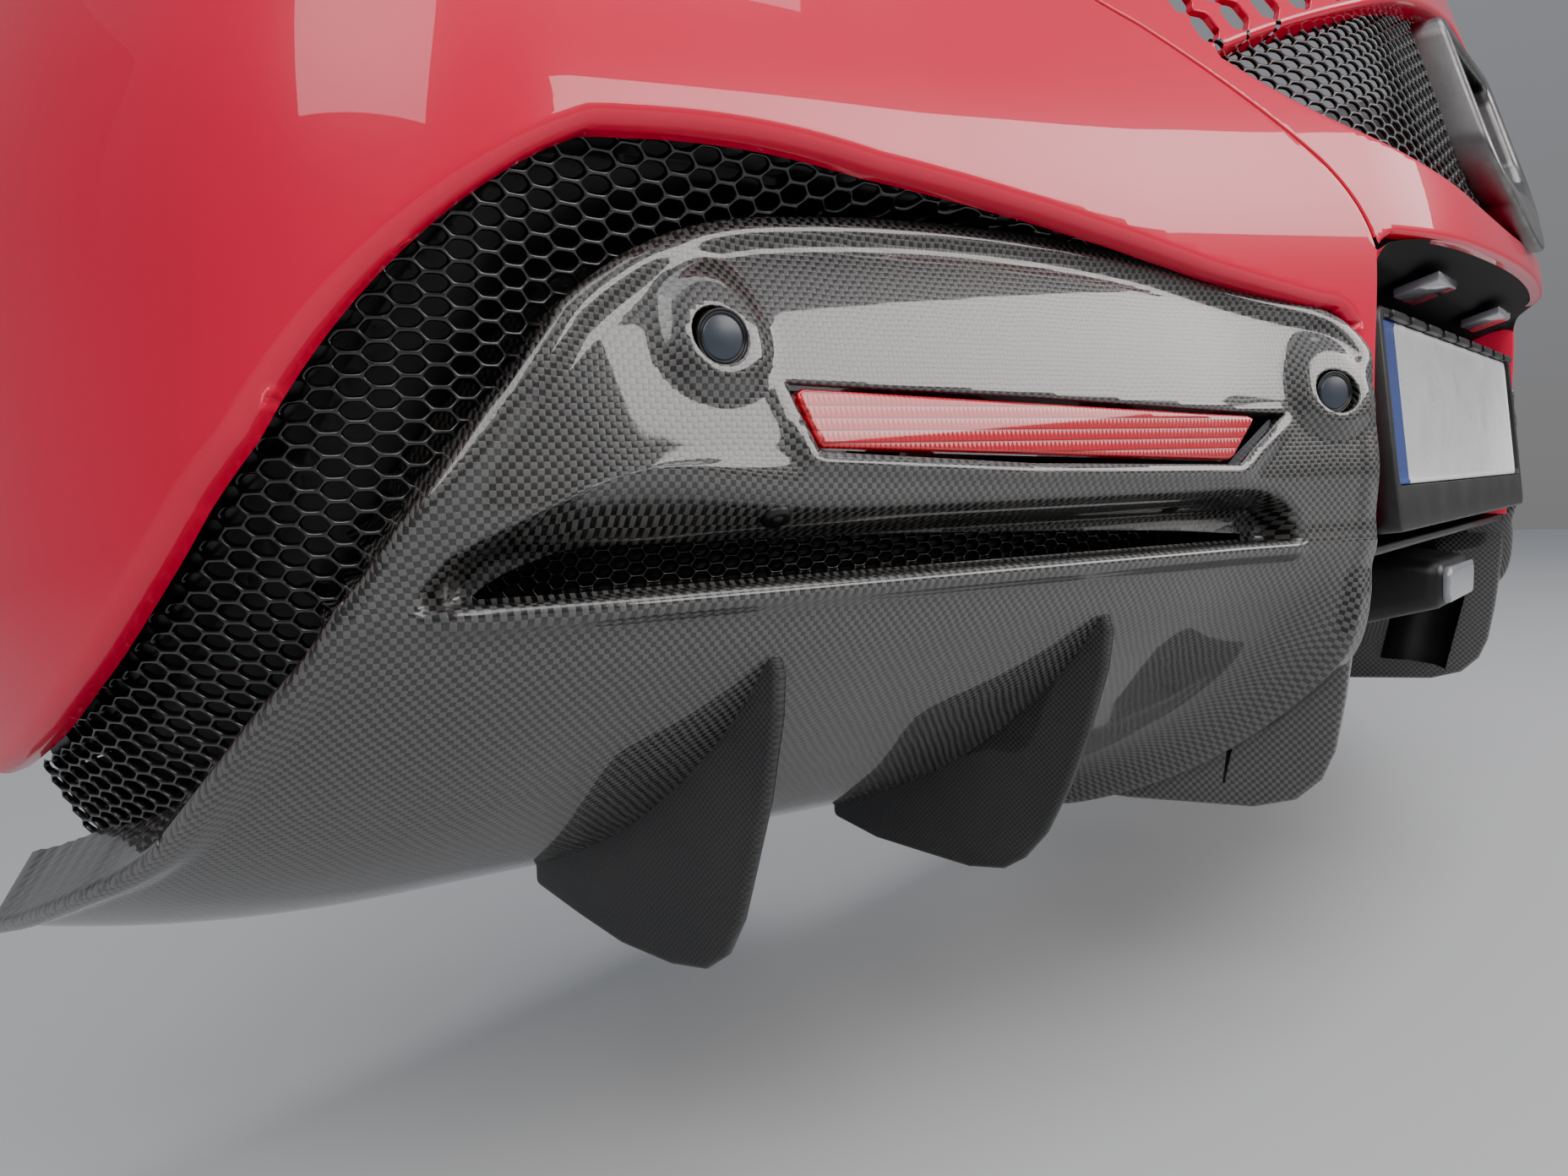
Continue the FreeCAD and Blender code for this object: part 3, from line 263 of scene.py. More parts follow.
def band_faces(rows, count, closed=True, start=0):
    """Four-sided faces between rows of corners. Each row is a ring, or a line that stays open."""
    return [(start + r * count + k, start + r * count + (k + 1) % count,
             start + (r + 1) * count + (k + 1) % count, start + (r + 1) * count + k)
            for r in range(rows - 1) for k in range(count if closed else count - 1)]


def smooth(value, low, high):
    """Rises smoothly from 0 at low to 1 at high."""
    part = np.clip((np.asarray(value, float) - low) / (high - low), 0.0, 1.0)
    return part * part * (3 - 2 * part)


class Plan:
    """An outline from above: tangent arcs through joints, read by length along it."""

    def __init__(self, joints, heading):
        points = np.array(joints, float)
        headings = [math.radians(heading)]
        for (x0, y0), (x1, y1) in zip(points, points[1:]):
            headings.append(2 * math.atan2(y1 - y0, x0 - x1) - headings[-1])
        self.points, self.headings = points, np.array(headings)
        bend = np.diff(self.headings) / 2
        chord = np.hypot(*np.diff(points, axis=0).T)
        self.lengths = np.concatenate([[0], np.cumsum(chord * bend / np.sin(bend))])
        self.chord, self.bend = chord, bend

    def at(self, length):
        """x, y and heading at lengths along the outline."""
        length = np.asarray(length, float)
        i = np.clip(np.searchsorted(self.lengths, length, "right") - 1, 0, len(self.chord) - 1)
        part = (length - self.lengths[i]) / (self.lengths[i + 1] - self.lengths[i])
        bend = self.bend[i]
        run = self.chord[i] * np.sin(bend * part) / np.sin(bend)
        turn = self.headings[i] + bend * part
        x = self.points[i, 0] - run * np.cos(turn)
        y = self.points[i, 1] + run * np.sin(turn)
        return x, y, self.headings[i] + 2 * bend * part

    def length_at(self, across):
        """Length along the outline where it passes a place across."""
        trial = np.linspace(0, self.lengths[-1], 2000)
        return float(np.interp(-across, -self.at(trial)[0], trial))


class Section:
    """A side section: a smooth line through rows of height, inset and shift."""

    def __init__(self, rows, steps=12):
        rows = np.array(rows, float)
        knots = np.concatenate([[0], np.cumsum(np.sqrt(
            np.linalg.norm(np.diff(rows, axis=0), axis=1)))])
        ends = np.vstack([2 * rows[0] - rows[1], rows, 2 * rows[-1] - rows[-2]])
        knots = np.concatenate([[2 * knots[0] - knots[1]], knots, [2 * knots[-1] - knots[-2]]])
        line = []
        for i in range(1, len(rows)):
            t = np.linspace(knots[i], knots[i + 1], steps, endpoint=False)[:, None]
            k0, k1, k2, k3 = knots[i - 1:i + 3]
            p0, p1, p2, p3 = ends[i - 1:i + 3]
            a1 = (k1 - t) / (k1 - k0) * p0 + (t - k0) / (k1 - k0) * p1
            a2 = (k2 - t) / (k2 - k1) * p1 + (t - k1) / (k2 - k1) * p2
            a3 = (k3 - t) / (k3 - k2) * p2 + (t - k2) / (k3 - k2) * p3
            b1 = (k2 - t) / (k2 - k0) * a1 + (t - k0) / (k2 - k0) * a2
            b2 = (k3 - t) / (k3 - k1) * a2 + (t - k1) / (k3 - k1) * a3
            line.append((k2 - t) / (k2 - k1) * b1 + (t - k1) / (k2 - k1) * b2)
        self.line = np.vstack(line + [rows[-1:]])
        self.lengths = np.concatenate([[0], np.cumsum(
            np.linalg.norm(np.diff(self.line, axis=0), axis=1))])

    def at(self, length):
        """Height, inset and shift at lengths along the section."""
        return [np.interp(length, self.lengths, self.line[:, k]) for k in range(3)]

    def length_at(self, height):
        """Length along the section at a height, for one that rises or falls all the way."""
        order = np.argsort(self.line[:, 0])
        return float(np.interp(height, self.line[order, 0], self.lengths[order]))


class Skin:
    """A surface swept along a plan with a side section, read by the two lengths."""

    def __init__(self, plan, section, depth=0.0, bulge=None):
        self.plan, self.section, self.depth, self.bulge = plan, section, depth, bulge

    def rows(self, u, s):
        return self.section.at(s)

    def bare(self, u, s):
        x, y, heading = self.plan.at(u)
        height, inset, shift = self.rows(u, s)
        inset = inset + self.depth
        return np.column_stack([x + np.sin(heading) * inset,
                                y + np.cos(heading) * inset + shift, height])

    def normals(self, u, s):
        step = 0.5
        along = self.bare(u + step, s) - self.bare(u - step, s)
        up = self.bare(u, s + step) - self.bare(u, s - step)
        normal = np.cross(up, along) * (1.0 if self.rises() else -1.0)
        return normal / (np.linalg.norm(normal, axis=1)[:, None] + 1e-12)

    def rises(self):
        return self.section.line[0, 0] < self.section.line[-1, 0]

    def flat(self, s):
        """The length along the plain section, for outlines and for the UV map."""
        return s

    def at(self, u, s):
        points = self.bare(u, s)
        if self.bulge is None:
            return points
        return points + self.normals(u, s) * self.bulge(points, u, s)[:, None]


class SlottedSkin(Skin):
    """The pod's surface: its section carries the slot between two places across only."""

    def __init__(self, plan, slotted, plain, ends, bulge=None):
        super().__init__(plan, slotted, 0.0, bulge)
        self.plain, self.ends = plain, np.array(ends, float)[::-1]

    def rows(self, u, s):
        x = self.plan.at(u)[0]
        index = np.interp(s, self.section.lengths, np.arange(len(self.section.lengths)))
        count = np.arange(len(self.section.lengths))
        slotted = [np.interp(index, count, self.section.line[:, k]) for k in range(3)]
        plain = [np.interp(index, count, self.plain.line[:, k]) for k in range(3)]
        lift = SLOT_LIFT * np.exp(-((x - SLOT_LIFT_ACROSS) / 60.0) ** 2)
        brow = smooth(-plain[0], 25, 44) * (1 - smooth(-plain[0], 52, 66))
        inner0, inner1, outer1, outer0 = [
            np.interp(plain[0], self.ends[:, 0], self.ends[:, k]) for k in range(1, 5)]
        share = smooth(-x, -inner0, -inner1) * (1 - smooth(-x, -outer1, -outer0))
        slotted[0] = slotted[0] + lift * brow
        return [a * share + b * (1 - share) for a, b in zip(slotted, plain)]

    def flat(self, s):
        count = np.arange(len(self.section.lengths))
        return np.interp(np.interp(s, self.section.lengths, count), count, self.plain.lengths)


class MeshSkin(Skin):
    """Lies at one depth behind the cover by the arch and at a greater one by the pod."""

    def __init__(self, near, far):
        super().__init__(COVER, COVER_SECTION)
        self.near, self.far = near, far

    def bare(self, u, s):
        arch = np.maximum(-polygon_distance(u, s, ARCH_FLAT), 0.0)
        pod = np.maximum(pod_on_cover(u, s), 0.0)
        self.depth = self.near + (self.far - self.near) * arch / (arch + pod + 1e-6)
        return super().bare(u, s)


def settle(skin, u, s, target, columns):
    """Lengths on a skin where two of its three coordinates meet a target, from a near start."""
    for _ in range(5):
        miss = skin.bare(u, s)[:, columns] - target
        along = (skin.bare(u + 1, s) - skin.bare(u - 1, s))[:, columns] / 2
        rise = (skin.bare(u, s + 1) - skin.bare(u, s - 1))[:, columns] / 2
        det = along[:, 0] * rise[:, 1] - along[:, 1] * rise[:, 0]
        det = np.where(np.abs(det) < 0.05, 0.05, det)
        step_u = (miss[:, 0] * rise[:, 1] - miss[:, 1] * rise[:, 0]) / det
        step_s = (along[:, 0] * miss[:, 1] - along[:, 1] * miss[:, 0]) / det
        u, s = u - np.clip(step_u, -2, 2), s - np.clip(step_s, -2, 2)
    return np.column_stack([u, s])


def flattened(skin, outline, front, us, ss, foot):
    """An outline seen from behind, then from the side, on a skin's lengths, closed at a foot."""
    u, s = (grid.ravel() for grid in np.meshgrid(us, ss, indexing="ij"))
    spots = skin.bare(u, s)
    flat = []
    front = Section([(z, y, 0) for y, z in front], 6).line[:, [1, 0]]
    for points, columns, reach in ((outline, [0, 2], 0.0), (front, [1, 2], -700.0)):
        points = np.array(points, float)
        far = (spots[:, 0] > reach) * 1e6
        near = [np.argmin((spots[:, columns[0]] - a) ** 2 + (spots[:, 2] - z) ** 2 + far)
                for a, z in points]
        flat.append(settle(skin, u[near], s[near], points, columns))
    flat = np.vstack(flat)
    return np.vstack([flat, [(flat[-1, 0] + PAST_END, foot), (flat[0, 0], foot)]])


class Sheet:
    """A fine grid on a skin, trimmed along outlines, with lips rolled along its cut edges."""

    def __init__(self, skin, us, ss):
        self.skin = skin
        grid_u, grid_s = np.meshgrid(us, ss, indexing="ij")
        self.u, self.s = list(grid_u.ravel()), list(grid_s.ravel())
        n = len(ss)
        turn = -1 if skin.rises() else 1
        self.faces = [(i * n + j, (i + 1) * n + j, (i + 1) * n + j + 1, i * n + j + 1)[::turn]
                      for i in range(len(us) - 1) for j in range(n - 1)]
        self.edges = {}
        self.extra = []
        self.extra_uv = []
        self.extra_faces = []

    def level(self, field, offset, u, s):
        """The field less an offset that is measured along the surface."""
        value = field(self.skin, u, s)
        if not offset:
            return value
        near = np.abs(value) < 3 * abs(offset) + 8
        un, sn, step = u[near], s[near], 0.5
        along = field(self.skin, un + step, sn) - field(self.skin, un - step, sn)
        across = field(self.skin, un, sn + step) - field(self.skin, un, sn - step)
        value[near] -= offset * np.clip(np.hypot(along, across) / (2 * step), 0.3, 1.2)
        return value

    def trim(self, field, name, offset=0.0):
        """Keeps what lies where the field is above the offset. The new edge gets the name."""
        u, s = np.array(self.u), np.array(self.s)
        value = self.level(field, offset, u, s)
        value[np.abs(value) < 0.02] = 0.02
        crossing = {}
        for face in self.faces:
            for a, b in zip(face, face[1:] + face[:1]):
                if value[a] * value[b] < 0:
                    crossing.setdefault((min(a, b), max(a, b)), len(crossing))
        if crossing:
            pairs = np.array(list(crossing))
            ua, sa, ub, sb = u[pairs[:, 0]], s[pairs[:, 0]], u[pairs[:, 1]], s[pairs[:, 1]]
            low, high = np.zeros(len(pairs)), np.ones(len(pairs))
            f_low, f_high = value[pairs[:, 0]].copy(), value[pairs[:, 1]].copy()
            for _ in range(6):
                part = low + (high - low) * f_low / (f_low - f_high)
                f_new = self.level(field, offset, ua + (ub - ua) * part, sa + (sb - sa) * part)
                same = f_new * f_low > 0
                low, f_low = np.where(same, part, low), np.where(same, f_new, f_low)
                high, f_high = np.where(same, high, part), np.where(same, f_high, f_new)
                f_low = np.where(f_low == 0, 1e-9, f_low)
            first = len(self.u)
            self.u += list(ua + (ub - ua) * part)
            self.s += list(sa + (sb - sa) * part)
            value = np.concatenate([value, np.zeros(len(pairs))])
        kept = []
        cut = []
        for face in self.faces:
            signs = [value[i] >= 0 for i in face]
            if all(signs):
                kept.append(face)
                continue
            if not any(value[i] > 0 for i in face):
                continue
            new, on_edge = [], []
            for a, b in zip(face, face[1:] + face[:1]):
                if value[a] >= 0:
                    new.append(a)
                if value[a] * value[b] < 0:
                    new.append(first + crossing[(min(a, b), max(a, b))])
                    on_edge.append(new[-1])
            if len(new) > 2:
                kept.append(tuple(new))
                if len(on_edge) == 2:
                    cut.append(tuple(on_edge))
        self.faces = kept
        used = {i for face in kept for i in face}
        self.edges = {key: [e for e in edge if e[0] in used and e[1] in used]
                      for key, edge in self.edges.items()}
        self.edges[name] = [e for e in cut if e[0] in used and e[1] in used]

    def chains(self, name):
        """The named cut edge as runs of corners, each with whether it closes on itself."""
        bordering = {}
        for face in self.faces:
            for a, b in zip(face, face[1:] + face[:1]):
                key = (min(a, b), max(a, b))
                bordering[key] = bordering.get(key, 0) + 1
        links = {}
        for a, b in self.edges[name]:
            if bordering.get((min(a, b), max(a, b))) == 1:
                links.setdefault(a, set()).add(b)
                links.setdefault(b, set()).add(a)
        runs = []
        while links:
            start = next((k for k, v in links.items() if len(v) == 1), next(iter(links)))
            run, here = [start], start
            while links.get(here):
                there = links[here].pop()
                links[there].discard(here)
                if not links[here]:
                    links.pop(here)
                run.append(there)
                here = there
            links.pop(here, None)
            closed = run[0] == run[-1]
            if len(run) > 2:
                runs.append((run[:-1] if closed else run, closed))
        return runs

    def roll(self, name, rows, field):
        """Lips along a cut edge. Rows are steps outwards in the surface, inwards and forwards."""
        for run, closed in self.chains(name):
            u, s = np.array(self.u)[run], np.array(self.s)[run]
            points, normals = self.skin.at(u, s), self.skin.normals(u, s)
            if closed:
                tangent = np.roll(points, -1, 0) - np.roll(points, 1, 0)
            else:
                tangent = np.gradient(points, axis=0)
            out = np.cross(normals, tangent)
            out /= np.linalg.norm(out, axis=1)[:, None] + 1e-12
            side = self.skin.bare(u + 0.5, s) - self.skin.bare(u - 0.5, s)
            rise = self.skin.bare(u, s + 0.5) - self.skin.bare(u, s - 0.5)
            slope_u = field(self.skin, u + 0.5, s) - field(self.skin, u - 0.5, s)
            slope_s = field(self.skin, u, s + 0.5) - field(self.skin, u, s - 0.5)
            uphill = side * slope_u[:, None] + rise * slope_s[:, None]
            sign = -np.sign(np.sum(uphill * out))
            out = out * sign
            tangent /= np.linalg.norm(tangent, axis=1)[:, None] + 1e-12
            ahead = np.array([0.0, 1.0, 0.0]) - tangent * tangent[:, 1:2]
            side_on = smooth(np.abs(tangent[:, 1:2]), 0.35, 0.75)
            ahead = ahead * (1 - side_on) - normals * side_on
            base = list(run)
            reach = 0.0
            before = (0.0, 0.0, 0.0)
            for row in rows:
                reach += math.dist(row, before)
                before = row
                start = len(self.extra)
                new = points + out * row[0] - normals * row[1] + ahead * row[2]
                self.extra += list(new)
                self.extra_uv += [(a, c + reach) for a, c in zip(u, self.skin.flat(s))]
                fresh = [-(start + k) - 1 for k in range(len(run))]
                count = len(run) if closed else len(run) - 1
                for k in range(count):
                    j = (k + 1) % len(run)
                    quad = (base[k], base[j], fresh[j], fresh[k])
                    self.extra_faces.append(quad if sign > 0 else quad[::-1])
                base = fresh

    def mesh(self, name):
        """The finished mesh in metres, with its lengths along the surface as its UV map."""
        u, s = np.array(self.u), np.array(self.s)
        points = self.skin.at(u, s)
        total = len(points)
        faces = [tuple(i if i >= 0 else total - i - 1 for i in face)
                 for face in self.faces + self.extra_faces]
        if self.extra:
            points = np.vstack([points, np.array(self.extra)])
            uv = np.vstack([np.column_stack([u, self.skin.flat(s)]), np.array(self.extra_uv)])
        else:
            uv = np.column_stack([u, self.skin.flat(s)])
        used = sorted({i for face in faces for i in face})
        renumber = {old: new for new, old in enumerate(used)}
        faces = [tuple(renumber[i] for i in face) for face in faces]
        return mesh_from(name, points[used], faces, uv[used])


def mesh_from(name, points, faces, uv=None):
    """Mesh from points in millimetres, faces and, if given, a UV place for each point."""
    mesh = bpy.data.meshes.new(name)
    mesh.from_pydata([tuple(p) for p in place(points)], [], [tuple(f) for f in faces])
    if uv is not None:
        layer = mesh.uv_layers.new(name="surface")
        corners = np.zeros(len(mesh.loops), dtype=np.int32)
        mesh.loops.foreach_get("vertex_index", corners)
        layer.data.foreach_set("uv", (np.asarray(uv)[corners] / 1000.0).ravel())
    mesh.validate()
    mesh.update()
    return mesh


@contextmanager
def edited(mesh):
    """The mesh opened for editing, and written back afterwards."""
    work = bmesh.new()
    work.from_mesh(mesh)
    yield work
    work.to_mesh(mesh)
    work.free()


def face_outwards(mesh):
    """Turns each shell's faces the same way, outwards."""
    with edited(mesh) as work:
        bmesh.ops.recalc_face_normals(work, faces=work.faces)


def mirrored(mesh, name):
    """A mirror image of a mesh across the car's middle, with its faces turned back."""
    copy = mesh.copy()
    copy.name = name
    copy.transform(Matrix.Scale(-1.0, 4, (1, 0, 0)))
    copy.flip_normals()
    return copy


def add_piece(name, mesh, material, nodes):
    """Puts a piece in the scene, in the finish of its slot, in place of its CAD nodes."""
    piece = bpy.data.objects.new(name, mesh)
    bpy.context.scene.collection.objects.link(piece)
    mesh.materials.clear()
    mesh.materials.append(material)
    mesh.polygons.foreach_set("use_smooth", [True] * len(mesh.polygons))
    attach(piece, "root")
    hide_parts(*nodes)


def add_pair(name, mesh, material, node):
    """A left piece and its mirror image on the right."""
    other = mirrored(mesh, name + "_right")
    for side, own in (("left", mesh), ("right", other)):
        add_piece(name + "_" + side, own, material, [node + "_" + side])


def bevelled(mesh, width, segments=2):
    """Rounds a mesh's sharp edges by a width in millimetres."""
    with edited(mesh) as work:
        bmesh.ops.remove_doubles(work, verts=work.verts, dist=1e-6)
        bmesh.ops.recalc_face_normals(work, faces=work.faces)
        sharp = [e for e in work.edges if len(e.link_faces) == 2
                 and e.calc_face_angle(0) > math.radians(SHARP_ANGLE)]
        bmesh.ops.bevel(work, geom=sharp, offset=width / 1000.0, segments=segments, profile=0.5,
                        affect="EDGES", clamp_overlap=True)
    return mesh


def slab(name, points, x0, x1):
    """Plate on the side view's plane, from set-backs and heights, between two places across."""
    count = len(points)
    corners = [(x, y, z) for x in (x0, x1) for y, z in points]
    faces = [tuple(range(count))[::-1], tuple(range(count, 2 * count))]
    faces += [(k, (k + 1) % count, count + (k + 1) % count, count + k) for k in range(count)]
    mesh = mesh_from(name, corners, faces, [corner[1:] for corner in corners])
    face_outwards(mesh)
    return mesh


def box_mesh(name, x0, x1, y0, y1, z0, z1):
    return slab(name, ((y0, z0), (y1, z0), (y1, z1), (y0, z1)), x0, x1)


# --- surfaces

COVER = Plan(COVER_PLAN, 0.0)
POD = Plan(POD_PLAN, POD_START_HEADING)
COVER_SECTION = Section(COVER_ROWS)
POD_FACE = Section(POD_TOP_ROWS + PLAIN_ROWS + RAMP_ROWS, 8)
ARCH_POINTS = outline_points(ARCH)
POD_POINTS = outline_points(POD_EDGE)
SEAM_POINTS = outline_points(SEAM)
UPPER_POINTS = outline_points(UPPER)
SLOT_POINTS = outline_points(SLOT, 2.0)

# The outlet's edge and the pod's edge on the lengths of a skin. They run on past the skin's ends.
PAST_END, SEARCH_STEP = 60.0, 1.5
COVER_GRID, POD_GRID = ((np.arange(0, plan.lengths[-1] + PAST_END, SEARCH_STEP),
                         np.arange(0, section.lengths[-1], SEARCH_STEP))
                        for plan, section in ((COVER, COVER_SECTION), (POD, POD_FACE)))
ARCH_FLAT = flattened(Skin(COVER, COVER_SECTION), ARCH_POINTS, ARCH_FRONT, *COVER_GRID, -PAST_END)
POD_FLAT = flattened(Skin(POD, POD_FACE), POD_POINTS, POD_FRONT, *POD_GRID,
                     POD_FACE.lengths[-1] + PAST_END)
POD_ON_COVER = flattened(Skin(COVER, COVER_SECTION, POD_SETBACK), POD_POINTS, POD_FRONT,
                         *COVER_GRID, -PAST_END)


def pod_on_cover(u, s):
    """Signed distance from the pod's edge, on the lengths of the cover's skin."""
    return polygon_distance(u, s, POD_ON_COVER)


def flat_field(outline, sign=1.0):
    """Field that is positive outside an outline on the skin's lengths, or inside it with -1."""
    def field(skin, u, s):
        return sign * polygon_distance(u, skin.flat(s), outline)
    return field


def outline_field(outline, sign=1.0):
    """Field that is positive outside an outline seen from behind, or inside it with -1."""
    def field(skin, u, s):
        points = skin.bare(u, s)
        return sign * polygon_distance(points[:, 0], points[:, 2], outline)
    return field


def place_field(rule):
    """Field from a rule on places in the car."""
    return lambda skin, u, s: rule(skin.bare(u, s))


def wheel_rule(points):
    """Positive outside the wheel arch."""
    y, z, radius = WHEEL
    return np.hypot(points[:, 1] - y, points[:, 2] - z) - radius


def recess_rule(points):
    """Positive outside the plate recess's mouth, whose upper corners are round."""
    past_x = np.abs(points[:, 0]) - RECESS_HALF + RECESS_CORNER
    past_z = points[:, 2] - RECESS_TOP + RECESS_CORNER
    outside = np.hypot(np.maximum(past_x, 0), np.maximum(past_z, 0)) - RECESS_CORNER
    return outside + np.minimum(np.maximum(past_x, past_z), 0)


wheel_field, recess_field = place_field(wheel_rule), place_field(recess_rule)


def lip_rows(radius, depth, turns=4, forward=0.0):
    """Rows of a lip that rolls over a radius, then runs inwards to a depth, then forwards."""
    rows = [(radius * math.sin(a), radius * (1 - math.cos(a)), 0.0)
            for a in (math.pi / 2 * k / turns for k in range(1, turns + 1))]
    rows += [(radius, radius + (depth - radius) * part, 0.0) for part in (0.3, 1.0)]
    return rows + ([(radius, depth, forward / 2), (radius, depth, forward)] if forward else [])


# --- painted panels

def hex_centres():
    """Centres of the holes above the mesh, in two staggered rows along the opening's edge."""
    span = UPPER[3]
    upper = np.array(arc_points(*span) + [span[2]])
    slope = (upper[1, 1] - upper[0, 1]) / (upper[1, 0] - upper[0, 0])
    centres = []
    for rise, first in HOLE_ROWS:
        for i in range(HOLES):
            x = first + i * HOLE_PITCH
            z = np.interp(x, upper[:, 0], upper[:, 1]) if x > upper[0, 0] else (
                upper[0, 1] + (x - upper[0, 0]) * slope)
            centres.append((x, z + rise))
    return centres


def hexagon(x, z, radius):
    return [(x + radius * math.cos(math.radians(60 * k)),
             z + radius * math.sin(math.radians(60 * k))) for k in range(6)]


def hex_rule(points):
    """Positive outside the holes above the mesh."""
    best = np.full(len(points), 1e3)
    for x, z in HEX_CENTRES:
        near = np.hypot(points[:, 0] - x, points[:, 2] - z) < 24
        if near.any():
            own = polygon_distance(points[near, 0], points[near, 2], hexagon(x, z, HOLE_RADIUS))
            best[near] = np.minimum(best[near], own)
    return best


HEX_CENTRES = hex_centres()
hex_field = place_field(hex_rule)


def build_side_panel():
    skin = Skin(COVER, COVER_SECTION)
    us = np.arange(COVER.length_at(-278), COVER.lengths[-1], 5.0)
    ss = np.linspace(0, COVER_SECTION.lengths[-1], 122)
    sheet = Sheet(skin, us, ss)
    arch = flat_field(ARCH_FLAT)
    seam = outline_field(SEAM_POINTS)
    sheet.trim(wheel_field, "wheel", 3.0)
    sheet.trim(place_field(
        lambda p: np.where(p[:, 0] > PANEL_FOOT_END, p[:, 2] - PANEL_FOOT, 1e3)), "below")
    sheet.trim(arch, "arch", ARCH_ROLL)
    sheet.trim(seam, "seam", 2.2)
    sheet.trim(recess_field, "recess", 3.0)
    sheet.roll("arch", lip_rows(ARCH_ROLL, ARCH_ROLL + 6.0, 7), arch)
    sheet.roll("seam", lip_rows(*SEAM_LIP), seam)
    sheet.roll("recess", lip_rows(3.0, 44.0), recess_field)
    sheet.roll("wheel", lip_rows(3.0, 18.0), wheel_field)
    return sheet.mesh("side_panel_left")


def build_centre_panel():
    skin = Skin(COVER, COVER_SECTION)
    us = np.concatenate([np.arange(0, 430, 3.0), np.arange(430, COVER.length_at(-720), 5.0)])
    ss = np.linspace(COVER_SECTION.length_at(98), COVER_SECTION.lengths[-1], 84)
    sheet = Sheet(skin, us, ss)
    seam = outline_field(SEAM_POINTS, -1.0)
    upper = outline_field(UPPER_POINTS)
    sheet.trim(seam, "seam", 1.2)
    sheet.trim(upper, "upper", 4.0)
    sheet.trim(recess_field, "recess", 4.0)
    sheet.trim(hex_field, "holes", 0.8)
    sheet.roll("seam", lip_rows(*SEAM_LIP), seam)
    sheet.roll("upper", lip_rows(4.0, 22.0), upper)
    sheet.roll("recess", lip_rows(4.0, 10.0), recess_field)
    sheet.roll("holes", lip_rows(0.8, 5.0, 3), hex_field)
    half = sheet.mesh("centre_panel")
    return joined("centre_panel", [half, mirrored(half, "centre_panel_right")], weld=0.0004)


def joined(name, meshes, weld=0.0):
    """One mesh out of several, with corners closer than the weld distance made one."""
    work = bmesh.new()
    for mesh in meshes:
        work.from_mesh(mesh)
    if weld:
        middle = [v for v in work.verts if abs(v.co.x) < weld]
        bmesh.ops.remove_doubles(work, verts=middle, dist=weld)
    mesh = bpy.data.meshes.new(name)
    work.to_mesh(mesh)
    work.free()
    return mesh


def build_recess():
    """Ceiling, sides and back of the hollow behind the plate."""
    skin = Skin(COVER, COVER_SECTION)
    half, top, floor, corner = RECESS_HALF, RECESS_TOP, RECESS_FLOOR, RECESS_CORNER
    mouth = [(-half, z) for z in np.linspace(floor, top - corner, 12)]
    mouth += [(-half + corner - corner * math.cos(a), top - corner + corner * math.sin(a))
              for a in np.linspace(0, math.pi / 2, 8)[1:]]
    mouth += [(x, top) for x in np.linspace(-half + corner, half - corner, 60)[1:]]
    mouth += [(-x, z) for x, z in mouth[:19][::-1]][1:]
    mouth = np.array(mouth)
    lengths = np.array([COVER.length_at(-abs(x)) for x, z in mouth])
    sections = np.array([COVER_SECTION.length_at(z) for x, z in mouth])
    rear = skin.bare(lengths, sections)[:, 1]
    rows = []
    for part in np.concatenate([np.linspace(0.04, 0.9, 14), [0.95, 0.98, 1.0]]):
        y = rear + (RECESS_BACK - rear) * part
        fall = (RECESS_TOP - RECESS_BACK_TOP) * smooth(y, -24, RECESS_BACK + 10)
        ridge = 2.2 * np.exp(-((y - 8.0) / 3.0) ** 2) * (mouth[:, 1] > top - 2)
        z = floor + (mouth[:, 1] - floor) * (1 - fall / (top - floor)) - ridge
        round_in = 6.0 * max(0.0, (part - 0.9) / 0.1) ** 2
        x = mouth[:, 0] - np.sign(mouth[:, 0]) * np.where(
            np.abs(mouth[:, 0]) > half - 1, round_in, 0)
        rows.append(np.column_stack([x, y, z - np.where(mouth[:, 1] > top - 2, round_in, 0)]))
    count = len(mouth)
    points = np.vstack(rows)
    faces = band_faces(len(rows), count, closed=False)
    last = (len(rows) - 1) * count
    pairs = [(last + k, last + count - 1 - k) for k in range(count // 2)]
    faces += [(a0, b0, b1, a1) for (a0, b0), (a1, b1) in zip(pairs, pairs[1:]) if a1 != b1]
    uv = np.column_stack([points[:, 0], points[:, 1] + points[:, 2]])
    return mesh_from("plate_recess", points, faces, uv)


# --- carbon pods

def pod_bulge(points, u, s):
    """How far the surface stands proud: the rim's band, the sensor bosses, the pocket's lip."""
    x, z = points[:, 0], points[:, 2]
    inside = -polygon_distance(u, s, POD_FLAT)
    on_edge = smooth(inside + np.maximum(z - 10, 0) * 9, 0, 9) * smooth(-x, 292, 318)
    on_edge = np.maximum(on_edge, smooth(z, 6, 26))
    wide = 1.0 + 0.5 * smooth(-z, 40, 200)
    crest = np.where(inside < 7, RIM_HEIGHT - 2.4 * ((7 - inside) / 7) ** 2,
                     RIM_HEIGHT * (1 - smooth(inside, 7 * wide, 19 * wide)))
    height = crest * wide * np.where(x > -340, on_edge, 1.0)
    for _, across, up in SENSORS:
        dx, dz = x - across, z - up
        reach = np.hypot(dx, dz * np.where(dz > 0, 0.72, 1.0)) - 16
        height = height + BOSS_HEIGHT * (1 - smooth(reach, 0, 15))
    pocket = polygon_distance(x, z, POCKET)
    under = np.maximum(smooth(-z, 2, 24), 0.6 * smooth(-x, 676, 690) * smooth(-z, -12, 0))
    lip = POCKET_LIP * np.exp(-((pocket - 5) / 4.5) ** 2)
    return height + lip * under * smooth(-x, 340, 372)


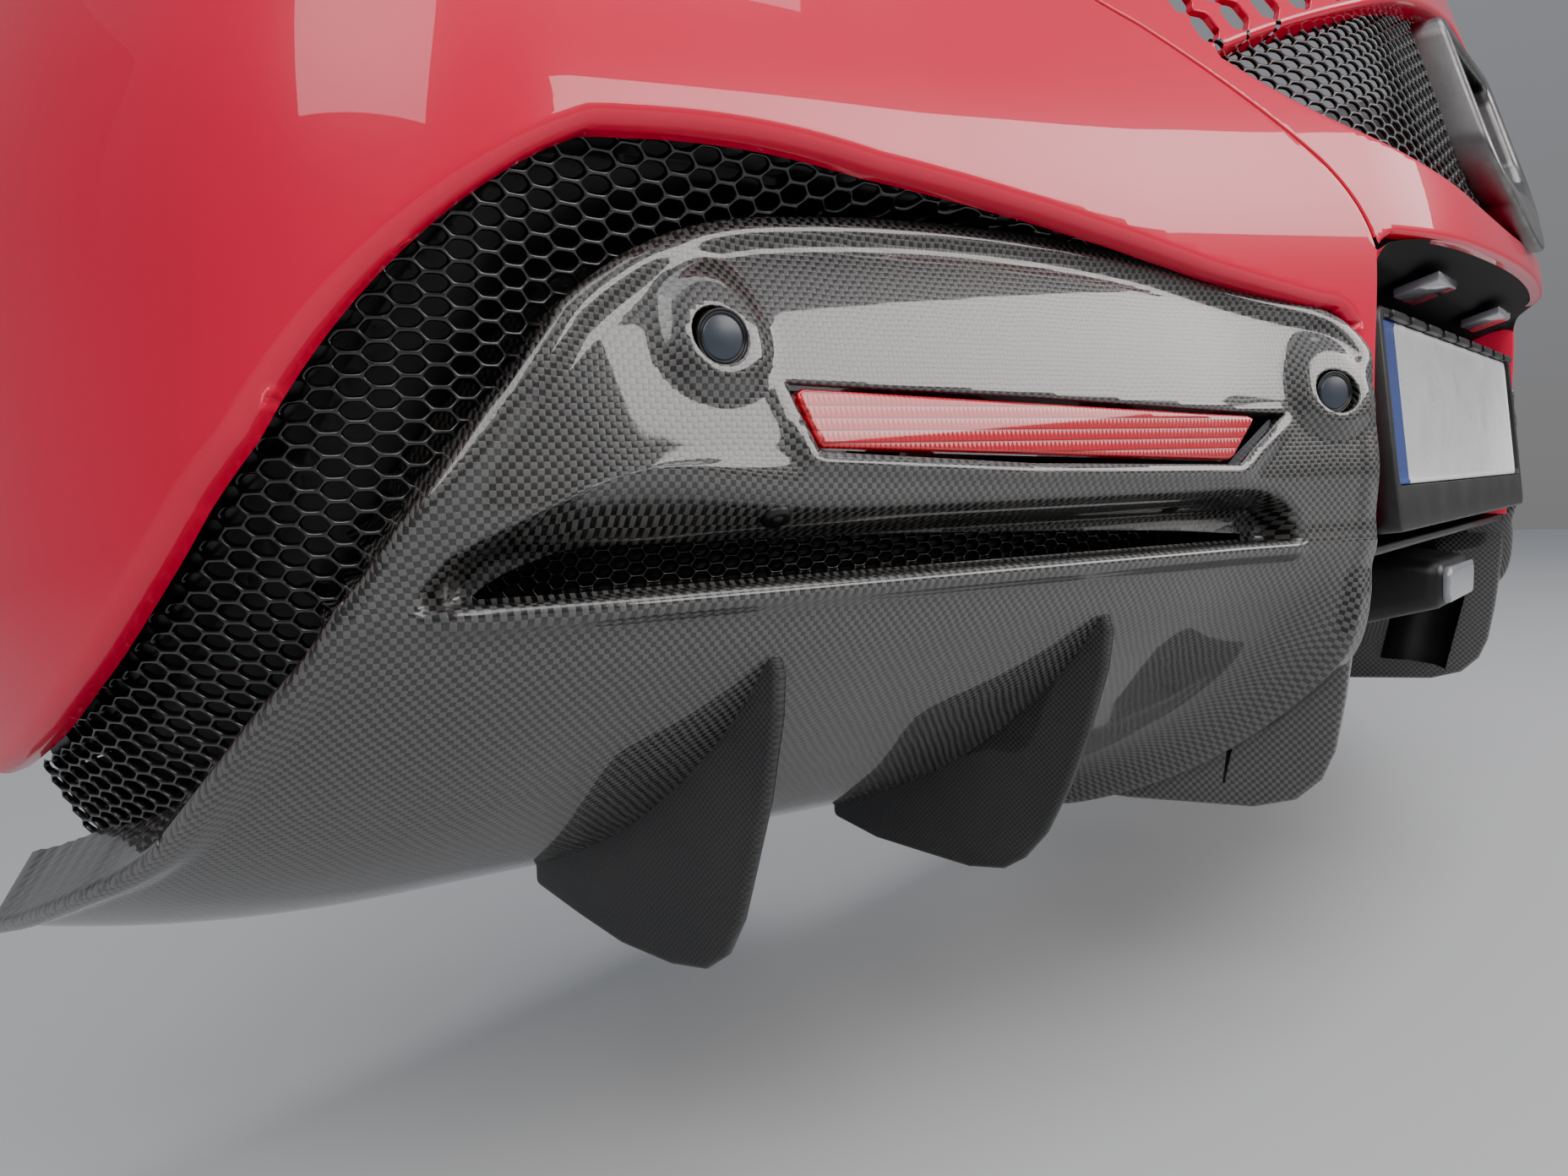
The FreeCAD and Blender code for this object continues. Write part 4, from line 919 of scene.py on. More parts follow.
def fillet_bulge(points):
    """The ramp sweeps out to meet the fence at the pod's inner end."""
    x, z = points[:, 0], points[:, 2]
    radius = 44.0
    run = np.clip(x + POD_INNER + 9 + radius, 0, radius - 0.5)
    rise = radius - np.sqrt(radius ** 2 - run ** 2)
    return np.minimum(rise, 26.0) * smooth(-z, 96, 150)


def build_pod():
    slotted = Section(POD_TOP_ROWS + SLOT_ROWS + RAMP_ROWS, 8)

    def bulge(points, u, s):
        return pod_bulge(points, u, skin.flat(s)) + fillet_bulge(points)

    skin = SlottedSkin(POD, slotted, POD_FACE, SLOT_ENDS, bulge)
    us = np.concatenate([np.arange(6, 70, 2.5), np.arange(70, POD.lengths[-1] - 20, 4.0)])
    ss = np.concatenate([np.arange(0, 270, 2.2), np.arange(270, slotted.lengths[-1], 4.5)])
    sheet = Sheet(skin, us, ss)
    edge = flat_field(POD_FLAT, -1.0)
    slot = outline_field(SLOT_POINTS)
    pocket = outline_field(np.array(POCKET, float))
    sheet.trim(edge, "edge", 4.0)
    sheet.trim(place_field(lambda p: POD_END - p[:, 1]), "tail")
    sheet.trim(lambda k, u, s: np.where(k.bare(u, s)[:, 2] > -86.4, slot(k, u, s), 1e2), "slot")
    sheet.trim(pocket, "pocket", 1.5)
    for name, across, up in SENSORS:
        ring = place_field(
            lambda p, a=across, h=up: np.hypot(p[:, 0] - a, p[:, 2] - h) - SENSOR_BORE)
        sheet.trim(ring, "ring_" + name, 0.8)
        sheet.roll("ring_" + name, lip_rows(0.8, 8.0, 3), ring)
    sheet.roll("edge", lip_rows(4.0, 8.0, 5, POD_LIP), edge)
    sheet.roll("slot", lip_rows(0.4, 1.0, 2, 30.0), slot)
    sheet.roll("pocket", lip_rows(1.5, 12.0, 3), pocket)
    return sheet.mesh("diffuser_pod_left")


def build_fence():
    inner = -POD_INNER - FENCE_GAP
    return bevelled(slab("fence_left", FENCE, inner - FENCE_THICKNESS, inner), 3.4, 3)


def build_strake(name, across, points):
    """A blade with a rounded edge."""
    half = STRAKE_THICKNESS / 2
    return bevelled(slab(name, points, across - half, across + half), 3.6, 3)


def build_push_pin(across, setback, height):
    return turned("push_pin", (across, setback, height), PIN_AXIS, PIN_RINGS, 28)


def turned(name, centre, axis, rings, segments):
    """A round piece: rings of radius and how far out along the axis."""
    axis = Vector(axis).normalized()
    side = axis.cross(Vector((0, 0, 1)) if abs(axis.z) < 0.9 else Vector((1, 0, 0))).normalized()
    up = axis.cross(side)
    points, uv = [], []
    for radius, out in rings:
        for k in range(segments):
            a = 2 * math.pi * k / segments
            spot = Vector(centre) + axis * out + (side * math.cos(a) + up * math.sin(a)) * radius
            points.append(tuple(spot))
            uv.append((radius * math.cos(a), radius * math.sin(a)))
    faces = band_faces(len(rings), segments)
    if rings[0][0] > 0:
        faces.append(tuple(range(segments))[::-1])
    mesh = mesh_from(name, points, faces, uv)
    with edited(mesh) as work:
        bmesh.ops.remove_doubles(work, verts=work.verts, dist=1e-7)
        bmesh.ops.recalc_face_normals(work, faces=work.faces)
    return mesh


def sensor_place(across, height):
    """Centre and outward direction of a sensor on the pod's face."""
    length = POD.length_at(across)
    x, y, heading = POD.at(length)
    inset = np.interp(height, (15, 60), (0, 12))
    centre = (float(x + math.sin(heading) * inset), float(y + math.cos(heading) * inset), height)
    return centre, (-math.sin(heading), -math.cos(heading), 0.0)


def build_sensor(across, height):
    """Round face in a double ring, set in its boss."""
    centre, axis = sensor_place(across, height)
    rings = [(radius, out + SENSOR_LIFT) for radius, out in SENSOR_RINGS]
    return turned("parking_sensor", centre, axis, rings, 40)


def build_reflector():
    """Long narrow lens that lies just below the pocket's lip."""
    section = Section(POD_TOP_ROWS + SLOT_ROWS)
    skin = Skin(POD, section, 1.6)
    us = np.arange(POD.length_at(-360), POD.length_at(-700), 4.0)
    ss = np.arange(section.length_at(24), section.length_at(-50), 2.0)
    sheet = Sheet(skin, us, ss)
    outline = outline_field(np.array(REFLECTOR, float), -1.0)
    sheet.trim(outline, "edge", 2.0)
    sheet.roll("edge", lip_rows(2.0, 7.0), outline)
    return sheet.mesh("reflector")


# --- honeycomb

def cell_outline(wide, high, inset, rounding):
    """A cell's outline, six points a side, drawn in by an inset and rounded off."""
    corners = [(0.5, 0.0), (0.25, 0.5), (-0.25, 0.5), (-0.5, 0.0), (-0.25, -0.5), (0.25, -0.5)]
    points = []
    for (x0, z0), (x1, z1) in zip(corners, corners[1:] + corners[:1]):
        for part in (0.0, 0.25, 0.5, 0.75):
            points.append((x0 + (x1 - x0) * part, z0 + (z1 - z0) * part))
    points = np.array(points)
    angle = np.arctan2(points[:, 1] / 0.5, points[:, 0] / 0.5)
    round_points = np.column_stack([0.46 * np.cos(angle), 0.5 * np.sin(angle)])
    points = points * (1 - rounding) + round_points * rounding
    return points * (wide - 2 * inset, high - 2 * inset)


def lattice(name, skin, us, ss, cell, keep):
    """Expanded mesh: each cell's bars fall inwards from a ridge that it shares with the next."""
    wide, high, bar = cell
    half = bar / 2
    rings = [(cell_outline(wide, high, 0.0, 0.0), 0.0, 0.0),
             (cell_outline(wide, high, half * 0.55, 0.3), 0.12, 0.0),
             (cell_outline(wide, high, half * 0.95, 0.6), 0.7, 0.0),
             (cell_outline(wide, high, half * 1.1, 0.75), 3.4, 1.3)]
    pitch, count = 0.75 * wide, len(rings[0][0])
    spots = np.array([(us[0] + i * pitch, ss[0] + (j + 0.5 * (i % 2)) * high)
                      for i in range(int((us[1] - us[0]) / pitch) + 1)
                      for j in range(int((ss[1] - ss[0]) / high) + 1)])
    spots = spots[keep(spots[:, 0], spots[:, 1], skin.bare(spots[:, 0], spots[:, 1]))]
    flat, depth, faces = [], [], []
    for spot in spots:
        start = len(depth) * count
        for outline, back, slope in rings:
            flat.append(spot + outline)
            depth.append(back - slope * (outline[:, 1] / high + 0.5))
        faces += band_faces(len(rings), count, start=start)
    flat, depth = np.vstack(flat), np.concatenate(depth)
    points = skin.bare(flat[:, 0], flat[:, 1])
    points = points - skin.normals(flat[:, 0], flat[:, 1]) * depth[:, None]
    mesh = mesh_from(name, points, faces, flat)
    with edited(mesh) as work:
        bmesh.ops.remove_doubles(work, verts=work.verts, dist=0.00002)
    return mesh


def build_outlet_mesh():
    skin = MeshSkin(*OUTLET_MESH_DEPTHS)

    def keep(u, s, points):
        return ((polygon_distance(u, s, ARCH_FLAT) < 6.0) & (pod_on_cover(u, s) > -9.0)
                & (points[:, 1] < OUTLET_END))
    us = (COVER.length_at(-350), COVER.lengths[-1])
    ss = (0.0, COVER_SECTION.length_at(118))
    return lattice("outlet_mesh", skin, us, ss, OUTLET_CELL, keep)


def build_outlet_shade_box():
    """Dark box behind the outlet's mesh, and the wall round it: painted shade, a dark sheet where
    there is only shade behind the mesh.
    """
    skin = MeshSkin(*OUTLET_SHADE_BOX_DEPTHS)
    us = np.arange(COVER.length_at(-310), COVER.lengths[-1] - 20, 9.0)
    sheet = Sheet(skin, us, np.arange(0, COVER_SECTION.length_at(126), 6.0))
    arch = flat_field(ARCH_FLAT, -1.0)
    end = place_field(lambda p: OUTLET_END - p[:, 1])

    def pod(skin, u, s):
        return pod_on_cover(u, s)
    sheet.trim(arch, "arch", -2.0)
    sheet.trim(pod, "pod", -14.0)
    sheet.trim(end, "end")
    sheet.roll("arch", ((0.0, -ARCH_WALL, 0.0), (ARCH_FLANGE, -ARCH_WALL, 0.0)), arch)
    sheet.roll("pod", ((0.0, -POD_WALL, 0.0),), pod)
    sheet.roll("end", ((0.0, -END_WALL, 0.0),), end)
    return sheet.mesh("outlet_duct_left")


def build_upper_mesh():
    skin = Skin(COVER, COVER_SECTION, UPPER_MESH_DEPTH)

    def keep(u, s, points):
        upper = polygon_distance(points[:, 0], points[:, 2], UPPER_POINTS)
        return (upper < 3.0) & (points[:, 0] < 6)
    us = (-6.0, COVER.length_at(-380))
    ss = (COVER_SECTION.length_at(120), COVER_SECTION.length_at(312))
    half = lattice("upper_mesh", skin, us, ss, UPPER_CELL, keep)
    return joined("upper_mesh", [half, mirrored(half, "upper_mesh_right")])


def upright_section(depth):
    """Straight side section at one depth, over the heights of the slot."""
    return Section(((-130, depth, 0), (-90, depth, 0), (-40, depth, 0)))


def build_slot_mesh():
    section = upright_section(SLOT_MESH_DEPTH)
    skin = Skin(POD, section)

    def keep(u, s, points):
        return polygon_distance(points[:, 0], points[:, 2], SLOT_POINTS) < 3.0
    us = (POD.length_at(-318), POD.length_at(-830))
    ss = (section.length_at(-98), section.length_at(-56))
    return lattice("slot_mesh", skin, us, ss, SLOT_CELL, keep)


def build_slot_shade_box():
    """Dark wall behind the slot's mesh, with sides that meet the slot's edge: painted shade, a dark
    sheet where there is only shade behind the slot.
    """
    section = upright_section(SLOT_SHADE_BACK_DEPTH)
    us = np.arange(POD.length_at(-330), POD.length_at(-836), 6.0)
    ss = np.arange(section.length_at(-104), section.length_at(-52), 3.0)
    sheet = Sheet(Skin(POD, section), us, ss)
    edge = outline_field(SLOT_POINTS, -1.0)
    sheet.trim(edge, "edge", -4.0)
    sheet.roll("edge", ((0.0, -SLOT_WALL, 0.0),), edge)
    return sheet.mesh("slot_shade_sheet_left")


# --- trim

def resampled(points, count):
    points = np.asarray(points, float)
    lengths = np.concatenate([[0], np.cumsum(np.hypot(*np.diff(points, axis=0).T))])
    at = np.linspace(0, lengths[-1], count)
    return np.column_stack([np.interp(at, lengths, points[:, k]) for k in range(2)])


def lean(z):
    """How far back the finisher's rear face lies at a height."""
    setback, height = FINISHER_FACE
    return setback + FINISHER_LEAN * (z - height)


def build_finisher():
    """Cast outlet: a leaning frame round an opening, with a plain blade below it."""
    outline = list(outline_points(FINISHER, 3.0)) + [FINISHER[-1][2]]
    outer, inner = (resampled(list(side) + [(-x, z) for x, z in side[::-1]][1:], 161)
                    for side in (outline, FINISHER_OPENING))
    centre = np.array([0.0, 225.0])

    def moved(points, by):
        away = points - centre
        away /= np.linalg.norm(away, axis=1)[:, None]
        return points + away * by
    rings = [
        (outer, 40.0), (outer, 4.0), (moved(outer, -0.8), 1.5), (moved(outer, -2.4), 0.0),
        (moved(outer, -5.0), -0.6), (moved(inner, 4.0), 1.0), (moved(inner, 1.6), 2.2),
        (moved(inner, 0.3), 4.5), (inner, 8.0), (moved(inner, -3.0), 50.0),
    ]
    count = len(outer)
    points = [(x, lean(z) + offset, z) for ring, offset in rings for x, z in ring]
    faces = band_faces(len(rings), count, closed=False)
    mesh = mesh_from("exhaust_finisher", points, faces, [(x, z) for x, y, z in points])
    face_outwards(mesh)
    return mesh


def build_tail_pipe():
    pipe = turned("tail_pipe", (0, 10, 222), (0, -1, 0), PIPE_RINGS, 64)
    divider = bevelled(box_mesh("divider", -1.5, 1.5, 24, 190, 186, 258), 0.8)
    return joined("tail_pipe", [pipe, divider])


def tilt(mesh):
    """Leans a mesh back about the plate's middle."""
    pivot = Vector(place((0, 0, 0)))
    mesh.transform(Matrix.Translation(pivot) @ Matrix.Rotation(math.radians(-PLATE_TILT), 4, "X")
                   @ Matrix.Translation(-pivot))
    return mesh


def rounded_rect(half_x, z0, z1, corner, steps=6):
    points = []
    right, low, high = half_x - corner, z0 + corner, z1 - corner
    for cx, cz, start in ((right, high, 0), (-right, high, 90), (-right, low, 180),
                          (right, low, 270)):
        for k in range(steps + 1):
            a = math.radians(start + 90 * k / steps)
            points.append((cx + corner * math.cos(a), cz + corner * math.sin(a)))
    return points


def rect_loops(half_x, z0, z1, rows):
    """Rounded rectangles with their set-backs, from rows of inset, corner and set-back."""
    return [(rounded_rect(half_x - by, z0 + by, z1 - by, corner), y) for by, corner, y in rows]


def frame_mesh(name, loops):
    """Closed rings, each a list of across and height with a set-back, joined into one skin."""
    count = len(loops[0][0])
    points = [(x, y, z) for loop, y in loops for x, z in loop]
    faces = band_faces(len(loops), count)
    faces.append(tuple(range(count)))
    faces.append(tuple(range((len(loops) - 1) * count, len(loops) * count))[::-1])
    mesh = mesh_from(name, points, faces, [(p[0], p[2]) for p in points])
    face_outwards(mesh)
    return mesh


def build_carrier():
    """Frame round the plate, with a row of clips along its top."""
    mesh = frame_mesh("plate_carrier", rect_loops(*CARRIER) + rect_loops(*CARRIER_HOLLOW))
    clips = [bevelled(box_mesh("clip", x, x + 42, -5.0, 1.0, 55.5, 61.0), 1.0)
             for x in np.arange(-238, 245, 59.0)]
    return tilt(joined("plate_carrier", [mesh] + clips))


def build_plate():
    return tilt(frame_mesh("number_plate", rect_loops(*PLATE)))


def build_plate_lamp():
    """Low block that follows the fall of the recess's ceiling."""
    mesh = box_mesh("plate_lamp", -162, -98, -12, 18, 90, 97)
    fall = (RECESS_TOP - RECESS_BACK_TOP) / 100
    with edited(mesh) as work:
        for corner in work.verts:
            corner.co.z -= fall * (corner.co.y * 1000 - PLATE_FACE_Y + 24) / 1000
    return bevelled(mesh, 1.6, 3)


def build_centre_floor():
    upper = [(y, z + 4) for y, z in CENTRE_FLOOR[2:]][::-1] + [(50, -96), (8, -96)]
    mesh = slab("centre_floor", list(CENTRE_FLOOR) + upper, -CENTRE_FLOOR_HALF, CENTRE_FLOOR_HALF)
    return bevelled(mesh, 2.6, 3)


def build_lamp():
    """Housing that grows forwards out of its square rear end, and the lens in that end."""
    loops = []
    for part in (1.0, 0.8, 0.6, 0.4, 0.2, 0.08, 0.03):
        y = 2.0 + 148.0 * part
        half = 56 + 28 * part
        top = -120 + 18 * part
        floor = -157 - 39 * part
        loops.append((rounded_rect(half, floor, top, 12), y))
    loops.append((rounded_rect(52.5, -153.5, -123.5, 10), 2.0))
    housing = frame_mesh("centre_lamp_housing", loops)
    return housing, frame_mesh("centre_lamp_lens", rect_loops(*LAMP_LENS))


# --- shader node groups

class Nodes:
    """Short calls for building a node tree."""

    def __init__(self, tree):
        self.tree = tree

    def set(self, socket, value):
        """Links the value to the socket, or writes it there as a constant."""
        if isinstance(value, bpy.types.NodeSocket):
            self.tree.links.new(value, socket)
        else:
            socket.default_value = value

    def add(self, kind, inputs=None, **settings):
        node = self.tree.nodes.new(kind)
        for key, value in settings.items():
            setattr(node, key, value)
        for key, value in (inputs or {}).items():
            self.set(node.inputs[key], value)
        return node

    def math(self, operation, a, b=0.0, c=0.0, clamp=False):
        inputs = {0: a, 1: b, 2: c} if operation == "MULTIPLY_ADD" else {0: a, 1: b}
        node = self.add("ShaderNodeMath", inputs, operation=operation, use_clamp=clamp)
        return node.outputs[0]

    def scaled(self, vector, factor):
        """The vector times a factor."""
        node = self.add("ShaderNodeVectorMath", {0: vector, "Scale": factor}, operation="SCALE")
        return node.outputs[0]

    def noise(self, vector, scale, detail):
        inputs = {"Vector": vector, "Scale": scale, "Detail": detail}
        return self.add("ShaderNodeTexNoise", inputs).outputs

    def span(self, value, low, high, out_low=0.0, out_high=1.0):
        inputs = {"Value": value, "From Min": low, "From Max": high, "To Min": out_low,
                  "To Max": out_high}
        return self.add("ShaderNodeMapRange", inputs).outputs[0]

    def mix(self, factor, a, b):
        node = self.add("ShaderNodeMix", data_type="RGBA")
        for socket, value in ((0, factor), (6, a), (7, b)):
            self.set(node.inputs[socket], value)
        return node.outputs[2]


def new_group(name, inputs, outputs):
    """Node group with named sockets. Gives the tree's helper, its inputs and its output node."""
    tree = bpy.data.node_groups.new(name, "ShaderNodeTree")
    for socket, kind, value, text in inputs:
        item = tree.interface.new_socket(socket, in_out="INPUT", socket_type=kind, description=text)
        if value is not None:
            item.default_value = value
    for socket, kind, text in outputs:
        tree.interface.new_socket(socket, in_out="OUTPUT", socket_type=kind, description=text)
    nodes = Nodes(tree)
    return nodes, nodes.add("NodeGroupInput").outputs, nodes.add("NodeGroupOutput")


def carbon_weave_group():
    """Plain weave of carbon tows: which way each tow runs, for a painted sheen, and the tows'
    rounded height.
    """
    nodes, inputs, out = new_group(
        "Carbon Weave",
        (("Vector", "NodeSocketVector", None, "Place on the surface, in metres"),
         ("Pitch", "NodeSocketFloat", 0.0034, "Width of a tow, in metres"),
         ("Waviness", "NodeSocketFloat", 0.25, "How far the tows wander, in widths")),
        (("Tone", "NodeSocketFloat", "0 for a tow one way, 1 for a tow the other way"),
         ("Height", "NodeSocketFloat", "Rounded height of the tows"),
         ("Fibre", "NodeSocketFloat", "Fine streaks along the tows")))
    tows = nodes.scaled(inputs["Vector"], nodes.math("DIVIDE", 1.0, inputs["Pitch"]))
    drift = nodes.noise(tows, 0.11, 1.0)["Color"]
    centred = nodes.add("ShaderNodeVectorMath", {0: drift, 1: (0.5, 0.5, 0.5)},
                        operation="SUBTRACT").outputs[0]
    pushed = nodes.scaled(centred, nodes.math("MULTIPLY", inputs["Waviness"], 4.0))
    moved = nodes.add("ShaderNodeVectorMath", {0: tows, 1: pushed}, operation="ADD")
    axes = nodes.add("ShaderNodeSeparateXYZ", {0: moved.outputs[0]}).outputs
    across = [nodes.math("FRACT", axes[k]) for k in range(2)]
    whole = nodes.math("ADD", nodes.math("FLOOR", axes[0]), nodes.math("FLOOR", axes[1]))
    parity = nodes.math("FRACT", nodes.math("MULTIPLY", whole, 0.5))
    tone = nodes.math("GREATER_THAN", parity, 0.25)
    humps = [nodes.math("SINE", nodes.math("MULTIPLY", part, math.pi)) for part in across]
    rest = nodes.math("SUBTRACT", 1.0, tone)
    bows = []
    for (over, under), power in ((humps, 0.55), (humps[::-1], 0.4)):
        both = nodes.math("ADD", nodes.math("MULTIPLY", over, tone),
                          nodes.math("MULTIPLY", under, rest))
        bows.append(nodes.math("POWER", both, power))
    height = nodes.math("MULTIPLY", *bows)
    nodes.set(out.inputs["Tone"], tone)
    nodes.set(out.inputs["Height"], height)
    nodes.set(out.inputs["Fibre"], nodes.noise(moved.outputs[0], 7.0, 2.0)[0])
    return nodes.tree


def grain_group():
    """Fine even grain, as on moulded plastic or sprayed paint."""
    nodes, inputs, out = new_group(
        "Fine Grain",
        (("Vector", "NodeSocketVector", None, "Place on the surface, in metres"),
         ("Size", "NodeSocketFloat", 0.0008, "Size of a grain, in metres"),
         ("Softness", "NodeSocketFloat", 0.5, "Share of larger, softer waves")),
        (("Height", "NodeSocketFloat", "Height of the grain"),
         ("Mottle", "NodeSocketFloat", "Slow change over the surface, 0 to 1")))
    scale = nodes.math("DIVIDE", 1.0, inputs["Size"])
    fine, slow, soft = (
        nodes.noise(inputs["Vector"], nodes.math("MULTIPLY", scale, share), detail)[0]
        for share, detail in ((1.0, 2.0), (0.03, 3.0), (0.25, 0.0)))
    gap = nodes.math("SUBTRACT", soft, fine)
    nodes.set(out.inputs["Height"], nodes.math("MULTIPLY_ADD", gap, inputs["Softness"], fine))
    nodes.set(out.inputs["Mottle"], slow)
    return nodes.tree


def dust_group():
    """Thin dust where a surface faces up, broken up by noise."""
    nodes, inputs, out = new_group(
        "Dust",
        (("Vector", "NodeSocketVector", None, "Place on the object, in metres"),
         ("Amount", "NodeSocketFloat", 0.3, "How much dust lies there"),
         ("Patch", "NodeSocketFloat", 0.05, "Size of the patches, in metres")),
        (("Mask", "NodeSocketFloat", "1 where the dust covers the surface"),))
    normal = nodes.add("ShaderNodeNewGeometry").outputs["Normal"]
    up = nodes.add("ShaderNodeSeparateXYZ", {0: normal}).outputs[2]
    facing = nodes.span(up, -0.2, 1.0, 0.15, 1.0)
    noise = nodes.noise(inputs["Vector"], nodes.math("DIVIDE", 1.0, inputs["Patch"]), 6.0)
    patches = nodes.span(noise[0], 0.4, 0.75)
    nodes.set(out.inputs["Mask"], nodes.math(
        "MULTIPLY", nodes.math("MULTIPLY", patches, facing), inputs["Amount"], clamp=True))
    return nodes.tree


def prism_group():
    """Rows of small moulded prisms, as in a rear reflector's lens."""
    nodes, inputs, out = new_group(
        "Prism Rows",
        (("Vector", "NodeSocketVector", None, "Place on the surface, in metres"),
         ("Width", "NodeSocketFloat", 0.003, "Width of a prism, in metres"),
         ("Height", "NodeSocketFloat", 0.006, "Height of a row, in metres")),
        (("Height", "NodeSocketFloat", "Height of the prisms"),
         ("Groove", "NodeSocketFloat", "1 in the grooves between them")))
    axes = nodes.add("ShaderNodeSeparateXYZ", {0: inputs["Vector"]}).outputs
    parts = []
    for k, size in ((0, inputs["Width"]), (1, inputs["Height"])):
        turns = nodes.math("FRACT", nodes.math("DIVIDE", axes[k], size))
        parts.append(nodes.math("PINGPONG", nodes.math("MULTIPLY", turns, 2.0), 1.0))
    height = nodes.math("MINIMUM", *parts)
    nodes.set(out.inputs["Height"], height)
    nodes.set(out.inputs["Groove"], nodes.span(height, 0.30, 0.04))
    return nodes.tree


def edge_wear_group():
    """Brighter worn edges, from how sharply the surface bends outwards."""
    nodes, inputs, out = new_group(
        "Edge Wear",
        (("Vector", "NodeSocketVector", None, "Place on the object, in metres"),
         ("Amount", "NodeSocketFloat", 0.5, "How worn the edges are"),
         ("Break Up", "NodeSocketFloat", 0.01, "Size of the chips, in metres")),
        (("Mask", "NodeSocketFloat", "1 on a worn edge"),))
    bend = nodes.add("ShaderNodeNewGeometry").outputs["Pointiness"]
    edge = nodes.span(bend, 0.52, 0.62)
    noise = nodes.noise(inputs["Vector"], nodes.math("DIVIDE", 1.0, inputs["Break Up"]), 4.0)
    chips = nodes.span(noise[0], 0.35, 0.65)
    nodes.set(out.inputs["Mask"], nodes.math(
        "MULTIPLY", nodes.math("MULTIPLY", edge, chips), inputs["Amount"], clamp=True))
    return nodes.tree


# --- materials

def build_groups():
    return {"weave": carbon_weave_group(), "grain": grain_group(), "dust": dust_group(),
            "wear": edge_wear_group(), "prisms": prism_group()}


BARE_MOULDING = (0.028, 0.028, 0.029, 1.0)
# The blue strip ends here, in metres across.
STRIP_END = -0.214


class Finish:
    """A material in the making: a Principled surface and the groups placed round it."""

    def __init__(self, name, colour, roughness, metallic=0.0, **constants):
        self.material = bpy.data.materials.new(name)
        self.material.use_nodes = True
        self.nodes = Nodes(self.material.node_tree)
        self.shader = next(n for n in self.material.node_tree.nodes if n.type == "BSDF_PRINCIPLED")
        self.material.diffuse_color = colour
        self.colour, self.roughness = colour, roughness
        self.shader.inputs["Metallic"].default_value = metallic
        for key, value in constants.items():
            self.shader.inputs[key.replace("_", " ")].default_value = value
        coords = self.nodes.add("ShaderNodeTexCoord")
        self.spot, self.surface = coords.outputs["Object"], coords.outputs["UV"]

    def group(self, tree, **inputs):
        node = self.nodes.add("ShaderNodeGroup", node_tree=tree)
        for key, value in inputs.items():
            self.nodes.set(node.inputs[key.replace("_", " ")], value)
        return node.outputs

    def grained(self, groups, size, depth, mottle=0.06):
        """Bumps from the grain, and a slow change in roughness."""
        grain = self.group(groups["grain"], Vector=self.spot, Size=size, Softness=0.5)
        self.bump(grain["Height"], depth)
        self.roughness = self.nodes.math(
            "ADD", self.roughness, self.nodes.span(grain["Mottle"], 0.3, 0.7, -mottle, mottle))
        return self

    def bump(self, height, depth):
        node = self.nodes.add("ShaderNodeBump", {"Height": height, "Distance": depth,
                                                 "Strength": 1.0})
        self.nodes.set(self.shader.inputs["Normal"], node.outputs[0])

    def dark_inside(self):
        """Bare dark moulding on the side that faces inwards."""
        inside = self.nodes.add("ShaderNodeNewGeometry").outputs["Backfacing"]
        self.colour = self.nodes.mix(inside, self.colour, BARE_MOULDING)
        outside = self.nodes.math("SUBTRACT", 1.0, inside)
        coat = self.shader.inputs["Coat Weight"]
        self.nodes.set(coat, self.nodes.math("MULTIPLY", outside, coat.default_value))
        self.roughness = self.nodes.math("MULTIPLY_ADD", inside, 0.4, self.roughness)
        return self

    def dusty(self, groups, amount, patch=0.05, colour=(0.30, 0.27, 0.23, 1.0)):
        mask = self.group(groups["dust"], Vector=self.spot, Amount=amount, Patch=patch)["Mask"]
        self.colour = self.nodes.mix(mask, self.colour, colour)
        self.roughness = self.nodes.math("MULTIPLY_ADD", mask, 0.45, self.roughness)
        return self

    def worn(self, groups, amount, colour, chips=0.01):
        mask = self.group(groups["wear"], Vector=self.spot, Amount=amount, Break_Up=chips)["Mask"]
        self.colour = self.nodes.mix(mask, self.colour, colour)
        return self

    def done(self):
        self.nodes.set(self.shader.inputs["Base Color"], self.colour)
        self.nodes.set(self.shader.inputs["Roughness"], self.roughness)
        return self.material


def carbon_material(name, groups, settings, pitch, tones_with_sheen, roughness, coat, depth):
    """Carbon cloth under clear resin: rounded tows, with a painted sheen that lightens the tows
    that run one way.
    """
    finish = Finish(name, tones_with_sheen[0], roughness, 0.0, Coat_Weight=coat, Coat_Roughness=0.03,
                    Specular_IOR_Level=0.5)
    weave = finish.group(groups["weave"], Vector=finish.surface, Pitch=pitch,
                         Waviness=settings.tow_drift)
    # Tows that run one way get the lighter second colour: painted sheen, where the real cloth is
    # one black.
    tone = finish.nodes.mix(weave["Tone"], tones_with_sheen[0], tones_with_sheen[1])
    streak = finish.nodes.span(weave["Fibre"], 0.35, 0.7, 0.0, 0.55)
    finish.colour = finish.nodes.mix(streak, tone, tones_with_sheen[2])
    finish.roughness = finish.nodes.span(weave["Tone"], 0.0, 1.0, roughness, roughness + 0.12)
    finish.bump(weave["Height"], depth)
    return finish.dusty(groups, 0.12).dark_inside().done()


